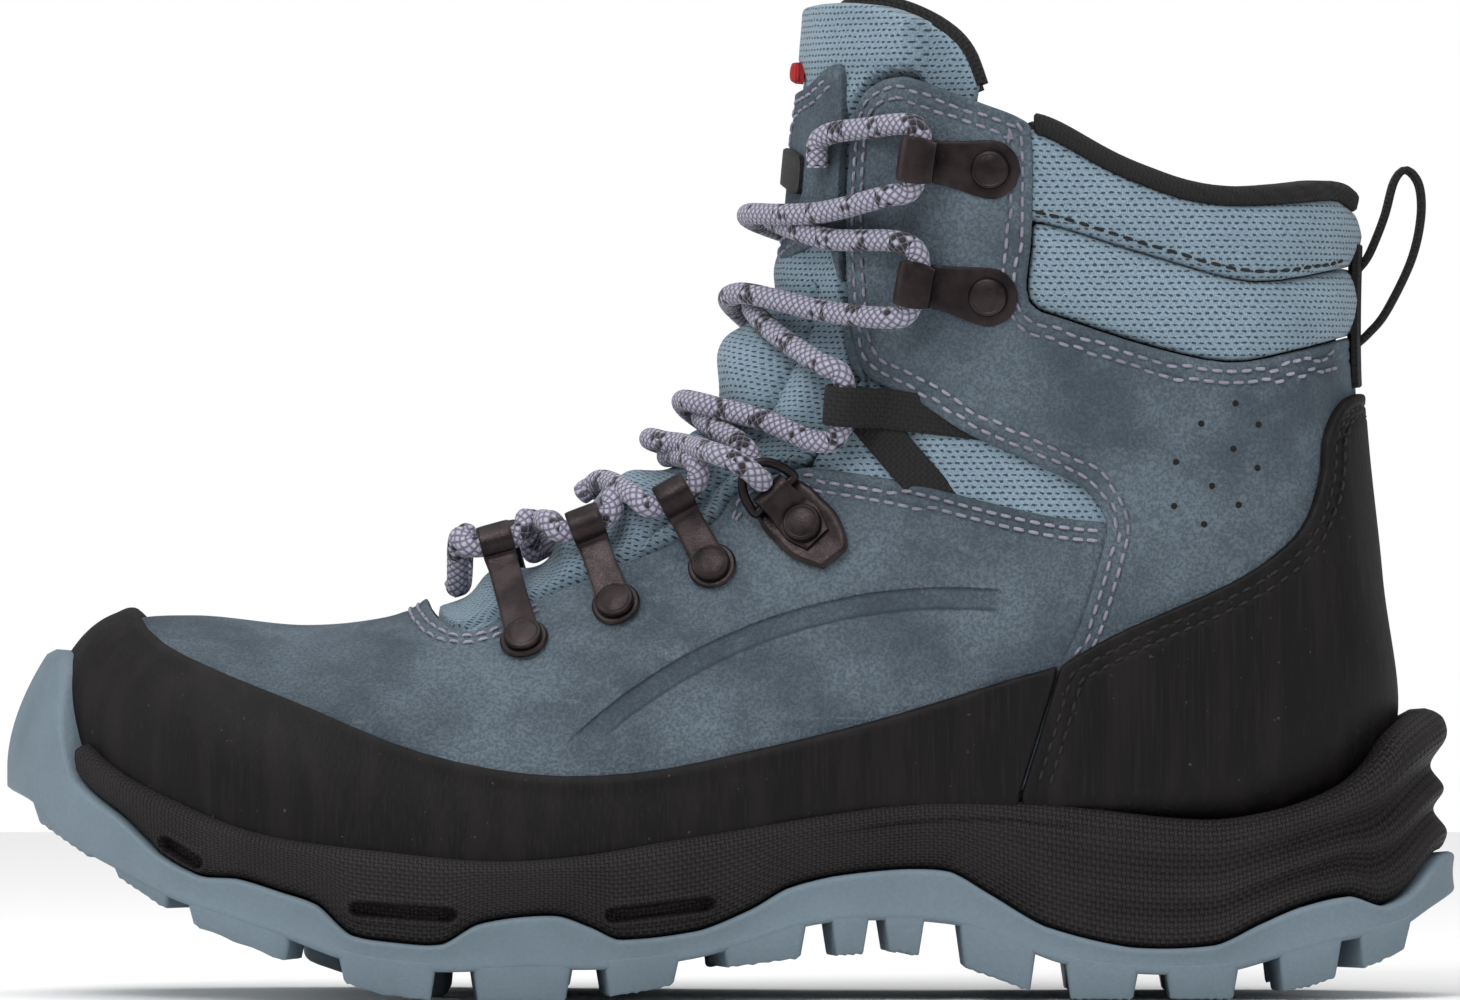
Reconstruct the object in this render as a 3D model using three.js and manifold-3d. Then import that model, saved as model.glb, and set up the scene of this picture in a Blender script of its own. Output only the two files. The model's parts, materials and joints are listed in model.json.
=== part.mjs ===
// A laced mid-height hiking boot for the left foot, in millimetres.
// +X runs from toe to heel, -Y is the outer (lateral) side, +Z is up, and the sole stands on z = 0.
// The upper is one lofted form. Every panel of it is a shell between two offsets of that form, cut to its side outline.
import * as THREE from "three";
import { mergeVertices } from "three/addons/utils/BufferGeometryUtils.js";
import Module from "manifold-3d";

const wasm = await Module();
wasm.setup();

// ---------------------------------------------------------------- driving dimensions
const GAP = 0.35; // clearance kept between touching pieces
const LEATHER = 1.8; // thickness of vamp and quarters
const RAND = 1.7; // thickness of the rubber rand and heel cover
const LINING = 1.4; // thickness of the lining
const LINING_DEPTH = 3.6; // from the leather's face to the lining
const COLLAR_DEPTH = 8.0; // thickness of the padded collar
const TONGUE_DEPTH = 5.6; // from the leather's face to the tongue under the quarters
const TONGUE_THICK = 6.5;
const LACE_R = 2.2;
const FINE = 0.12; // surfaces are thinned to within this distance
const WIDE = 90; // half the depth of every side-outline prism
const ROWS = 19; // rows of the lofted form from toe to collar
const AROUND = 18; // points round each row

// Side profile of the leather: t from -1 (collar, back) by the sole to 0 (toe tip), then over the vamp to 1 (collar, front).
const PROFILE = [
  [-1.0, 126.5, 174], [-0.96, 125.6, 125], [-0.92, 129.2, 85], [-0.87, 131.5, 52], [-0.82, 114, 33],
  [-0.76, 72, 32.5], [-0.7, 30, 32.8], [-0.62, -8, 25.4], [-0.54, -38, 21], [-0.46, -62, 21],
  [-0.36, -85, 23.5], [-0.24, -106, 30], [-0.14, -122, 37], [-0.06, -131.5, 46], [0, -134.4, 57],
  [0.06, -131.8, 67], [0.14, -123.5, 74.8], [0.24, -108, 76.3], [0.36, -85, 74.3], [0.46, -65, 77],
  [0.54, -46.2, 82.8], [0.62, -27, 93.6], [0.7, -9.6, 107.8], [0.76, 2.6, 124.2], [0.82, 8.5, 139],
  [0.87, 11.5, 151], [0.92, 13, 166], [0.96, 14.5, 183], [1.0, 16, 202],
];
// Half width of each section, how far its middle stands towards the inner side, and how it rounds.
const WIDTH = [
  [-0.06, -18], [0, 0], [0.06, 18], [0.14, 33], [0.24, 43.5], [0.36, 48.5], [0.46, 49], [0.54, 47],
  [0.62, 42.5], [0.7, 37.5], [0.76, 35], [0.82, 34.6], [0.87, 35.2], [0.92, 36.6], [0.96, 38.3], [1, 39.5],
];
const MIDDLE = [[0, 8], [0.14, 6], [0.24, 4.5], [0.36, 2.5], [0.46, 1], [0.54, 0], [0.62, -1], [0.76, -1], [0.87, 0], [1, 0]];
const FRONT_POWER = [[0, 2.1], [0.14, 2.6], [0.24, 3.2], [0.36, 2.7], [0.46, 1.9], [0.54, 1.5], [0.62, 1.4], [0.76, 1.6], [0.87, 1.9], [1, 2]];
const FRONT_REACH = [[0, 0.5], [0.14, 0.7], [0.24, 0.85], [0.62, 0.88], [0.7, 0.8], [0.76, 0.66], [0.82, 0.52], [0.87, 0.42], [0.92, 0.38], [1, 0.42]];
const BACK_REACH = [[0, 0.5], [0.14, 0.3], [0.24, 0.15], [0.62, 0.11], [0.7, 0.1], [0.76, 0.1], [0.82, 0.16], [0.87, 0.23], [0.92, 0.26], [1, 0.31]];

// Side outlines, x and z. Each list holds only the points that its line needs.
const FEATHER_LINE = [
  [-134, 52], [-126, 46.6], [-115, 41], [-95, 33.6], [-66, 29.6], [-46, 28], [-28, 29.2], [-8, 32.6], [21, 37.4],
  [40, 40], [58, 39.8], [94, 36], [109, 37.8], [123, 42], [131, 46.6], [138, 53],
];
const RAND_TOP = [[-124, 84], [-115.4, 71.9], [-102.6, 65], [-84.8, 58], [-62.8, 49.4], [-40, 44.8], [-18, 45.2], [5, 49.8], [30, 56], [54, 63.4], [65.7, 66.6]];
const SEAM = [[65.7, 66.6], [61.6, 53.2], [57, 38], [55, 26]];
const COUNTER_TOP = [[65.7, 66.6], [77.4, 73.2], [98.6, 82.6], [108, 88.5], [114, 94.8], [117.4, 104.2], [118.2, 112.5], [121.5, 118.8], [127, 121.2], [140, 122.5]];
const QUARTER_FRONT = [[66, 66.8], [69.7, 74.6], [73.8, 87.9], [75, 95], [71.2, 101.2], [65.1, 104.7], [47.8, 112.6], [38.6, 118.4], [28.4, 123.4]];
const EYESTAY = [[25.4, 127.6], [24.2, 136.6], [23.6, 156.4], [24.4, 172], [26.2, 179.6], [30.4, 183.2], [35, 184]];
const TAB_TOP = [[36, 183.8], [49.2, 178.8], [56.3, 176.2], [59.8, 174.2]];
const COLLAR_LOW = [[60.2, 172], [60, 152.6], [58.9, 141.5], [60.8, 137.6], [66, 135.7], [83.3, 130.1], [99, 126.9], [112.6, 129], [127, 132.6], [140, 136]];
const THROAT = [[-61, 84], [-60, 77], [-55, 73.6], [-48, 74.6], [-40, 79.3], [-22, 86.6], [-4.2, 94.8], [0, 100], [6, 104], [15, 106.4]];
const VAMP_TOP = [[15, 106.4], [33, 103.7], [53.4, 98.6], [66, 96], [74.6, 95.2]];
const COLLAR_TOP = [[61, 176], [66, 174], [76, 168.4], [84, 165], [92, 162.4], [101, 161.4], [112.6, 162], [122, 162.8], [126.5, 161], [134, 157]];
const TONGUE_TOP = [[2, 190], [9, 197], [18, 199], [28, 198.4], [38, 194.6], [44.5, 189.4], [48, 182]];
const TONGUE_WING = [[48, 182], [45, 168], [38, 148], [27, 124], [6, 99], [-20, 80], [-44, 70], [-62, 68]];
const PATCH_TOP = [[-4, 179.5], [13.8, 181], [21.5, 186.6], [28.6, 184.4], [44, 177]];
const PATCH_LOW = [[36, 160], [20, 152.4], [7.3, 144.8], [-4, 139]];

// Plan outline of the sole at the outsole's edge.
const SOLE_PLAN = [
  [-145.8, 8], [-141, -11], [-128, -30.5], [-108, -45], [-85, -52.5], [-58, -55], [-25, -51.5], [10, -45],
  [45, -40.5], [85, -39.8], [115, -37], [134, -27.5], [143.6, -13], [145.9, 0], [143.6, 13], [134, 27.5],
  [115, 37], [85, 38.6], [45, 37], [10, 39.5], [-25, 47.5], [-58, 54], [-82, 55], [-108, 51], [-128, 41], [-141, 26],
];
// Seam between midsole and outsole, the outsole's underside without lugs, and the lugs' treading line.
const SOLE_SEAM = [
  [-134, 50.6], [-131, 43.4], [-121.6, 35.9], [-114, 29], [-106, 25], [-98, 24.4],
  [-89.8, 22], [-82.2, 19.4], [-75.6, 13.6], [-67, 12], [-57, 11.6], [-50.2, 15.4], [-42, 16.9], [-33.6, 17.1],
  [-27, 14.7], [-21.8, 12.4], [-5.7, 14.2], [4.7, 18.4], [11.6, 22.4], [20.8, 24.8], [34.7, 26.2], [44, 25.6],
  [51.8, 21.1], [62.6, 14.8], [79.7, 10.6], [96.6, 11], [105.8, 15.2], [113.6, 18.4], [124, 20.6], [131, 18.6],
  [137, 21], [143.5, 28], [150, 31],
];
const MIDSOLE_BACK = [[143, 27.6], [140.6, 30.6], [141, 34.6], [139.4, 39.6], [140.8, 46.6], [138, 51.6], [136.4, 52]];
const BUMPER_EDGE = [[-136, 69], [-134.4, 61.6]]; // rear edge of the toe bumper above the seam
const SOLE_UNDER = [
  [-150, 42], [-141, 39], [-132, 31], [-122, 25.6], [-112, 20.6], [-100, 16.6], [-88, 12.6], [-76, 8.4], [-60, 6.2],
  [-40, 6.6], [-24, 6.6], [-8, 8.4], [4, 11.4], [14, 14.6], [25, 16], [44, 15.2], [55, 11.6], [66, 7.4], [80, 5.4],
  [98, 5.6], [110, 8.6], [122, 11.6], [134, 14], [141, 18], [150, 23],
];
const TREAD = [
  [-150, 38], [-139, 34.5], [-126, 26.5], [-109, 15.6], [-87, 7.4], [-70, 1.6], [-58, 0], [-30, 0], [-14, 2.4], [0, 6.6],
  [16, 8.6], [34, 9.6], [48, 6], [60, 1.6], [68, 0], [102, 0], [116, 2.6], [130, 7], [140, 12], [150, 18],
];
// Each edge lug: from and to along x, and the slant of its faces. Both sides carry the same row.
const EDGE_LUGS = [
  [-141, -127], [-124, -111.5], [-108.5, -87], [-78, -58], [-51, -31], [-25, -9.5], [-1.5, 15.6],
  [20, 28], [30.5, 39], [45.5, 61], [66.5, 81.5], [86.5, 101.5], [109, 122.5], [125.5, 137],
];
const LUG_INSET = 15; // how far an edge lug reaches in from the sole's edge
// Centre lugs: x, y and half size.
const CENTRE_LUGS = [
  [-118, 7, 7], [-99, -6, 7.5], [-99, 15, 7.5], [-80, 4, 8], [-62, -14, 8], [-62, 16, 8], [-41, 1, 8], [-20, -10, 7.5], [-20, 12, 7.5],
  [0, 0, 7], [54, 0, 6.5], [73, 0, 7.5], [94, 0, 7.5], [114, 0, 7.5],
];

// Hardware on each side: [x, z] of the rivet, and of the point that the piece aims at.
const LOOPS = [
  { rivet: [-41, 71.4], aim: [-44.6, 83] },
  { rivet: [-22.6, 78.4], aim: [-27, 90] },
  { rivet: [-3.4, 86.1], aim: [-9.6, 97.4] },
];
const RING = { rivet: [15, 94.2], aim: [4.4, 104.8] };
const HOOKS = [
  { rivet: [51.6, 140], aim: [36.6, 143.2] },
  { rivet: [52, 165.3], aim: [37, 167.6] },
];
// Where the lace crosses the ridge of the tongue, as positions along the form, from the bottom bar upwards.
const RIDGE_STOPS = [0.505, 0.58, 0.627, 0.695, 0.73, 0.818, 0.888];
const RIVET_R = 3.9;
const KNUCKLE = 8.2; // from the ring plate's rivet to the ring's bar
const RING_R = 5.4; // half the ring's width, to the wire's middle
const RING_LONG = 7.6; // from the ring's bar to the far side of its arc
const RING_WIRE = 0.9;
const RING_LEAN = THREE.MathUtils.degToRad(26);
const HOLE_R = 1.3;
const SIDES = { lateral: -1, medial: 1 };

// ---------------------------------------------------------------- curves
// A smooth function through [t, value, ...] rows: cubic pieces with slopes taken across each point's neighbours.
function through(rows) {
  const slope = (i, k) => {
    const a = rows[Math.max(i - 1, 0)];
    const b = rows[Math.min(i + 1, rows.length - 1)];
    return (b[k] - a[k]) / (b[0] - a[0]);
  };
  return (t, k = 1) => {
    let i = 0;
    while (i < rows.length - 2 && t > rows[i + 1][0]) i++;
    const [a, b] = [rows[i], rows[i + 1]];
    const d = b[0] - a[0];
    const q = THREE.MathUtils.clamp((t - a[0]) / d, 0, 1);
    const [q2, q3] = [q * q, q * q * q];
    return (
      a[k] * (2 * q3 - 3 * q2 + 1) + slope(i, k) * d * (q3 - 2 * q2 + q) +
      b[k] * (3 * q2 - 2 * q3) + slope(i + 1, k) * d * (q3 - q2)
    );
  };
}
const profile = through(PROFILE);
const width = through(WIDTH);
const middle = through(MIDDLE);
const frontPower = through(FRONT_POWER);
const frontReach = through(FRONT_REACH);
const backReach = through(BACK_REACH);

// Points of a spline through [x, y] pairs, n spans in all.
const smooth = (pairs, n) =>
  new THREE.SplineCurve(pairs.map(([x, y]) => new THREE.Vector2(x, y))).getPoints(n).map((p) => [p.x, p.y]);
const shifted = (pairs, dx, dz) => pairs.map(([x, z]) => [x + dx, z + dz]);
const reversed = (pairs) => [...pairs].reverse();
const upTo = (pairs, x) => pairs.filter((p) => p[0] < x);
const from = (pairs, x) => pairs.filter((p) => p[0] > x);
// The same line moved sideways by d, to the left of its own direction.
const parallel = (pairs, d) =>
  pairs.map(([x, z], i) => {
    const [ax, az] = pairs[Math.max(i - 1, 0)];
    const [bx, bz] = pairs[Math.min(i + 1, pairs.length - 1)];
    const l = Math.hypot(bx - ax, bz - az);
    return [x - ((bz - az) / l) * d, z + ((bx - ax) / l) * d];
  });

// ---------------------------------------------------------------- the boot's form
// A point of the form: u from toe to collar, s from the front line (0) to the sole or back line (1), side -1 or 1.
function formPoint(u, s, side) {
  const [fx, fz, bx, bz] = [profile(u, 1), profile(u, 2), profile(-u, 1), profile(-u, 2)];
  const front = s < frontReach(u) ? Math.pow(1 - s / frontReach(u), frontPower(u)) : 0;
  const rest = (1 - s) / backReach(u);
  const back = rest < 1 ? Math.pow(1 - rest, 2.2) : 0;
  const half = width(u) * Math.sqrt(Math.max(0, 1 - front)) * Math.sqrt(Math.max(0, 1 - back));
  return new THREE.Vector3(fx + (bx - fx) * s, middle(u) + side * half, fz + (bz - fz) * s);
}

// Where the form's section line through side point (x, z) lies: its u and s.
function locate(x, z) {
  let [low, high] = [0.01, 1];
  for (let i = 0; i < 40; i++) {
    const u = (low + high) / 2;
    const [fx, fz, bx, bz] = [profile(u, 1), profile(u, 2), profile(-u, 1), profile(-u, 2)];
    if ((bx - fx) * (z - fz) - (bz - fz) * (x - fx) > 0) low = u;
    else high = u;
  }
  const [fx, fz, bx, bz] = [profile(low, 1), profile(low, 2), profile(-low, 1), profile(-low, 2)];
  return [low, THREE.MathUtils.clamp(((x - fx) * (bx - fx) + (z - fz) * (bz - fz)) / ((bx - fx) ** 2 + (bz - fz) ** 2), 0.002, 0.998)];
}

function formNormal(u, s, side) {
  const e = 0.004;
  const along = formPoint(Math.min(u + e, 1), s, side).sub(formPoint(Math.max(u - e, 0.001), s, side));
  const across = formPoint(u, Math.min(s + e, 1), side).sub(formPoint(u, Math.max(s - e, 0), side));
  return along.cross(across).multiplyScalar(side).normalize();
}

// A point on one side of the boot seen at (x, z), lifted off the leather, and the outward normal there.
function onSide(x, z, side, lift = 0) {
  const [u, s] = locate(x, z);
  const normal = formNormal(u, s, side);
  return { point: formPoint(u, s, side).addScaledVector(normal, lift), normal };
}

// ---------------------------------------------------------------- solids
function solid(geometry) {
  const bare = new THREE.BufferGeometry().setAttribute("position", (geometry.index ? geometry.toNonIndexed() : geometry).getAttribute("position"));
  const merged = mergeVertices(bare, 1e-4);
  return new wasm.Manifold(
    new wasm.Mesh({ numProp: 3, vertProperties: merged.attributes.position.array, triVerts: new Uint32Array(merged.index.array) }),
  );
}

function geometryOf(manifold) {
  const mesh = manifold.getMesh();
  const position = new Float32Array(mesh.numVert * 3);
  for (let i = 0; i < mesh.numVert; i++) position.set(mesh.vertProperties.subarray(i * mesh.numProp, i * mesh.numProp + 3), i * 3);
  const geometry = new THREE.BufferGeometry();
  geometry.setAttribute("position", new THREE.BufferAttribute(position, 3));
  geometry.setIndex(new THREE.BufferAttribute(new Uint32Array(mesh.triVerts), 1));
  geometry.computeVertexNormals();
  return geometry;
}

// A closed solid from rings of points that all have the same count. A ring of one point closes an end.
function loft(rings) {
  const position = [];
  const index = [];
  const starts = rings.map((ring) => {
    const start = position.length / 3;
    ring.forEach((p) => position.push(p.x, p.y, p.z));
    return start;
  });
  const face = (a, b, c) => index.push(a, b, c);
  for (let i = 0; i < rings.length - 1; i++) {
    const [n, m] = [rings[i].length, rings[i + 1].length];
    const count = Math.max(n, m);
    for (let j = 0; j < count; j++) {
      const k = (j + 1) % count;
      const [a, b] = [starts[i] + (n === 1 ? 0 : j), starts[i] + (n === 1 ? 0 : k)];
      const [c, d] = [starts[i + 1] + (m === 1 ? 0 : j), starts[i + 1] + (m === 1 ? 0 : k)];
      if (n > 1) face(a, b, c);
      if (m > 1) face(b, d, c);
    }
  }
  const geometry = new THREE.BufferGeometry();
  geometry.setAttribute("position", new THREE.Float32BufferAttribute(position, 3));
  geometry.setIndex(index);
  const made = solid(geometry);
  return made.volume() < 0 ? turned(geometry) : made;
}

function turned(geometry) {
  const index = geometry.index.array;
  for (let i = 0; i < index.length; i += 3) [index[i + 1], index[i + 2]] = [index[i + 2], index[i + 1]];
  return solid(geometry);
}

const centreOf = (ring) => ring.reduce((sum, p) => sum.add(p), new THREE.Vector3()).multiplyScalar(1 / ring.length);

// The whole form grown outwards by offset, a number or a function of the point on the leather.
function form(offset) {
  const grow = typeof offset === "function" ? offset : () => offset;
  const rings = [];
  for (let i = 1; i <= ROWS; i++) {
    const u = i / ROWS;
    const ring = [];
    for (let j = 0; j < AROUND; j++) {
      const turn = (2 * Math.PI * j) / AROUND;
      const side = turn <= Math.PI ? -1 : 1;
      const s = THREE.MathUtils.clamp((1 - Math.cos(turn)) / 2, 0.0015, 0.9985);
      const onRidge = j === 0 || j === AROUND / 2;
      const p = formPoint(u, s, side);
      const n = formNormal(u, s, side);
      if (onRidge) [p.y, n.y] = [middle(u), 0];
      ring.push(p.addScaledVector(n.normalize(), grow(p)));
    }
    rings.push(ring);
  }
  const toe = new THREE.Vector3(profile(0, 1) - grow(new THREE.Vector3(-134.4, 8, 57)), middle(0), profile(0, 2));
  return loft([[toe], ...rings, [centreOf(rings.at(-1))]]);
}

// A prism across the whole boot with the given side outline.
function sidePrism(outline, from = -WIDE, to = WIDE) {
  const shape = new THREE.Shape(outline.map(([x, z]) => new THREE.Vector2(x, z)));
  const geometry = new THREE.ExtrudeGeometry(shape, { depth: to - from, bevelEnabled: false });
  geometry.rotateX(Math.PI / 2).translate(0, to, 0);
  return solid(geometry);
}

// A panel: the layer of the form between two offsets, within a side outline.
const layer = (outer, inner) => form(outer).subtract(form(inner));
const half = (side) => sidePrism([[-200, -20], [200, -20], [200, 260], [-200, 260]], side < 0 ? -WIDE : 0.15, side < 0 ? -0.15 : WIDE);

const mat = (color, roughness, metalness = 0) => new THREE.MeshStandardMaterial({ color, roughness, metalness });
const finish = {
  rubber: mat(0x6c7a84, 0.6),
  foam: mat(0x1d1b1c, 0.85),
  rand: mat(0x1b191a, 0.55),
  leather: mat(0x46525c, 0.75),
  knit: mat(0x71808e, 0.9),
  lining: mat(0x141314, 0.9),
  webbing: mat(0x121112, 0.8),
  metal: mat(0x54494a, 0.35, 0.9),
  lace: mat(0xa7a4b0, 0.8),
  board: mat(0x8d8168, 0.9),
  plastic: mat(0x2a2a2c, 0.5),
  red: mat(0xb01818, 0.7),
};

const boot = new THREE.Group();
function add(name, manifold, material) {
  const bodies = manifold.decompose().sort((a, b) => b.volume() - a.volume());
  const mesh = new THREE.Mesh(geometryOf(bodies[0].simplify(FINE)), material);
  mesh.name = name;
  boot.add(mesh);
  return mesh;
}


// ---------------------------------------------------------------- sole
const planShape = (inset) => {
  const outline = smooth([...SOLE_PLAN, SOLE_PLAN[0]], 48).slice(0, -1);
  const moved = outline.map(([x, y], i) => {
    const [ax, ay] = outline[(i + 47) % 48];
    const [bx, by] = outline[(i + 1) % 48];
    const l = Math.hypot(bx - ax, by - ay);
    return [x - ((by - ay) / l) * inset, y + ((bx - ax) / l) * inset];
  });
  return moved;
};
function planPrism(outline, low = -5, high = 90) {
  const shape = new THREE.Shape(outline.map(([x, y]) => new THREE.Vector2(x, y)));
  return solid(new THREE.ExtrudeGeometry(shape, { depth: high - low, bevelEnabled: false }).translate(0, 0, low));
}
const seamLine = smooth(SOLE_SEAM, 32);
const underLine = smooth(SOLE_UNDER, 20);
const featherLine = smooth(FEATHER_LINE, 22);
const RIM = 2.4; // how far the sole's cup stands off the leather

const cup = form(RIM);
const shankSlot = sidePrism(
  [...smooth([[-34, 18.6], [-8, 22.8], [30, 30.2], [72, 30.2], [86, 29.6]], 12), [86, 40], [-34, 32]], -15.5, 15.5,
);
const midsole = planPrism(planShape(1))
  .intersect(sidePrism([...upTo(parallel(seamLine, GAP / 2), 141), ...MIDSOLE_BACK, ...reversed(upTo(featherLine, 136))]))
  .subtract(cup)
  .subtract(shankSlot);
// Above the sole's edge the toe bumper narrows to a cap round the tip of the rand.
const capShape = new THREE.Shape().absellipse(-134, 7.5, 11.4, 17, 0, 2 * Math.PI);
const cap = solid(new THREE.ExtrudeGeometry(capShape, { depth: 30, bevelEnabled: false, curveSegments: 9 }).translate(0, 0, 48));
const outsolePlan = planPrism(planShape(0), -5, 48.01).add(cap);
const outsoleBody = outsolePlan
  .intersect(sidePrism([...underLine, ...reversed(parallel(seamLine, -GAP / 2)), ...reversed(BUMPER_EDGE), [-150, 69]]))
  .subtract(cup);
const treadZone = sidePrism([...TREAD, [151, 24.2], ...reversed(shifted(underLine, 0, 1.2))]);
const edgeBand = planPrism(planShape(0.3)).subtract(planPrism(planShape(LUG_INSET)));
const lugs = EDGE_LUGS.map(([a, b]) =>
  sidePrism([[a + 1.2, -3], [b - 1.2, -3], [b, 50], [a, 50]]).intersect(edgeBand).intersect(treadZone),
);
const centreLugs = CENTRE_LUGS.map(([x, y, r]) => {
  const corners = [[r, -0.35 * r], [0.35 * r, -r], [-0.35 * r, -r], [-r, -0.35 * r], [-r, 0.35 * r], [-0.35 * r, r], [0.35 * r, r], [r, 0.35 * r]];
  return planPrism(corners.map(([dx, dy]) => [x + dx * 0.72, y + dy * 0.72]), -3, 50).intersect(treadZone);
});
const outsole = [...lugs, ...centreLugs].reduce((sum, lug) => sum.add(lug), outsoleBody);
add("outsole", outsole, finish.rubber);
add("midsole", midsole, finish.foam);
const shankShape = sidePrism(
  [...smooth([[-33.6, 19], [-8, 23.2], [30, 30.6], [72, 30.6], [85.6, 30]], 12),
   ...smooth([[85.6, 31.3], [72, 31.9], [30, 31.9], [-8, 24.5], [-33.6, 20.3]], 12)], -15, 15,
).subtract(cup);
add("shank", shankShape, finish.plastic);

// ---------------------------------------------------------------- panels of the upper
// Depths of the layers, measured outwards from the leather's face.
const INSIDE = -LEATHER - GAP; // where the stiffeners start
const LINER = -LINING_DEPTH; // the lining's outer face
const LINED = LINER - LINING; // the lining's inner face
const skin = layer(0, -LEATHER);
const cover = layer(GAP + RAND, GAP);
const stiff = layer(INSIDE, LINER + GAP);
const liner = layer(LINER, LINED);
const edge = smooth(FEATHER_LINE, 16);
// The line under a panel, from toe to heel, at a height over the feather line.
const under = (dz) => [[-150, 62 + dz], ...shifted(edge, 0, dz), [150, 64 + dz]];
const TUCK = -4.5; // how far the panels go down inside the sole's cup
const seamUp = smooth(reversed(SEAM), 5).filter((p) => p[1] > 40);
// The foot of the seam on the under line, a clearance to one side of it.
const seamFoot = (dz, gap) => [57.4 + gap, 39.8 + dz];
const quarterFront = smooth(QUARTER_FRONT, 12);
const eyestay = smooth([QUARTER_FRONT.at(-1), ...EYESTAY], 9).slice(1);
const tabTop = smooth(TAB_TOP, 4);
const collarLow = smooth(COLLAR_LOW, 10);
const vampTop = smooth(VAMP_TOP, 6);
const throat = smooth(THROAT, 10);
const randTop = smooth(RAND_TOP, 11);
const counterTop = smooth(COUNTER_TOP, 13);

const vampOutline = [
  ...upTo(under(TUCK), 55), seamFoot(TUCK, -GAP), ...parallel(seamUp, GAP / 2), ...parallel(quarterFront.slice(1, 8), GAP / 2).filter((p) => p[1] < 94),
  ...reversed(vampTop), ...reversed(throat).slice(1), [-61, 96], [-150, 96],
];
add("vamp", skin.intersect(sidePrism(vampOutline)), finish.leather);

const quarterOutline = [
  ...reversed(from(under(TUCK), 60)), seamFoot(TUCK, GAP), ...parallel(seamUp, -GAP / 2), ...parallel(quarterFront, -GAP / 2).slice(1),
  ...eyestay, ...tabTop, ...collarLow.map(([x, z]) => [x, z]), [150, 136.5],
];
const quarters = skin.intersect(sidePrism(quarterOutline));
const heelGap = sidePrism([[90, 0], [200, 0], [200, 250], [90, 250]], -0.2, 0.2);
for (const [name, side] of Object.entries(SIDES)) add(`quarter_${name}`, quarters.intersect(half(side)).subtract(heelGap), finish.leather);

const randOutline = [...upTo(under(TUCK), 55), seamFoot(TUCK, -GAP), ...parallel(seamUp, GAP), ...reversed(randTop).slice(1), [-126, 95], [-150, 95]];
add("toe_rand", cover.intersect(sidePrism(randOutline)), finish.rand);
const counterOutline = [...reversed(from(under(TUCK), 60)), seamFoot(TUCK, GAP), ...parallel(seamUp, -GAP), ...counterTop.slice(1), [150, 122.5]];
add("heel_counter_cover", cover.intersect(sidePrism(counterOutline)), finish.rand);

// The board under the foot fills the cup below the tucked-in panels.
const boardOutline = [...under(TUCK - 2 * GAP), [150, -5], [-150, -5]];
add("lasting_board", layer(RIM - GAP, LINER + GAP).intersect(sidePrism(boardOutline)).subtract(shankSlot), finish.board);

const puffOutline = [...upTo(under(TUCK), -96), [-94, 60], [-100, 95], [-150, 95]];
add("toe_puff", stiff.intersect(sidePrism(puffOutline)), finish.board);
const stiffenerOutline = [...reversed(from(under(TUCK), 84)), [80, 60], [96, 84], [112, 100], [150, 104]];
add("heel_stiffener", stiff.intersect(sidePrism(stiffenerOutline)), finish.board);

// Mesh between vamp and quarter, held under the edges of both.
const flexOutline = [[16, 99], [33, 96.4], [52, 92], [64, 88], [80, 86], [82, 97], [77, 106], [66, 111.5], [50, 119], [40, 124.5], [30, 129], [27, 116], [20, 110], [15.4, 104]];
const flex = stiff.intersect(sidePrism(flexOutline));
for (const [name, side] of Object.entries(SIDES)) add(`flex_mesh_${name}`, flex.intersect(half(side)), finish.knit);

// The edge of the throat opening, from its lowest point up to the tab beside the collar.
const opening = [...throat, [20.5, 111.6], [24, 117.6], ...eyestay];

// Lining: the inner boot, open along the throat and round the collar.
const collarSeam = smooth([[58.6, 155], [66, 153.6], [84, 148], [105, 143], [127, 146.4], [140, 150]], 7);
const liningOutline = [
  [-150, -5], [-150, 96], [-63, 96], ...parallel(opening, -1.2), ...parallel(tabTop, -1).slice(1), ...parallel(collarSeam, -GAP), [150, 140], [150, -5],
];
const liningSolid = liner.intersect(sidePrism(liningOutline));
add("lining", liningSolid, finish.lining);

const insoleTop = smooth([[-150, 52], [-118, 45], [-104, 38.4], [-85, 33.4], [-62, 31.4], [-38, 31.4], [-8, 36], [30, 42.6], [72, 42], [108, 42.6], [118, 44], [150, 60]], 14);
const insoleZone = sidePrism([...insoleTop, [150, -5], [-150, -5]]);
add("insole", form(LINED - 2 * GAP).subtract(layer(LINER, LINED - GAP)).intersect(insoleZone), finish.knit);

// Padded collar: an upper and a lower roll of knit fabric, with a bound edge on top.
const collarRing = layer(0, -COLLAR_DEPTH);
const collarTop = smooth(COLLAR_TOP, 10);
const binding = 3.4;
const upperPadOutline = [
  [61, 155.2], ...from(parallel(collarSeam, GAP / 2), 61.4), [150, 153.5], ...reversed(from(parallel(collarTop, -binding - GAP), 61.4)), [61, 171],
];
const upperPad = collarRing.intersect(sidePrism(upperPadOutline));
add("collar_upper_pad", upperPad, finish.knit);
const lowerPadOutline = [
  ...parallel(collarLow, GAP).filter((p) => p[1] < 150), [150, 138], [150, 149],
  ...reversed(from(parallel(collarSeam, -GAP / 2), 61)), [60.6, 154.4],
];
add("collar_lower_pad", layer(0, LINER + GAP).intersect(sidePrism(lowerPadOutline)), finish.knit);
const bindingOutline = [[61, 172], ...from(parallel(collarTop, -binding), 61.2), ...reversed(from(parallel(collarTop, 0.6), 61.2)), [61, 176.4]];
add("collar_binding", layer(0.2, -COLLAR_DEPTH).intersect(sidePrism(bindingOutline)), finish.webbing);

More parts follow.
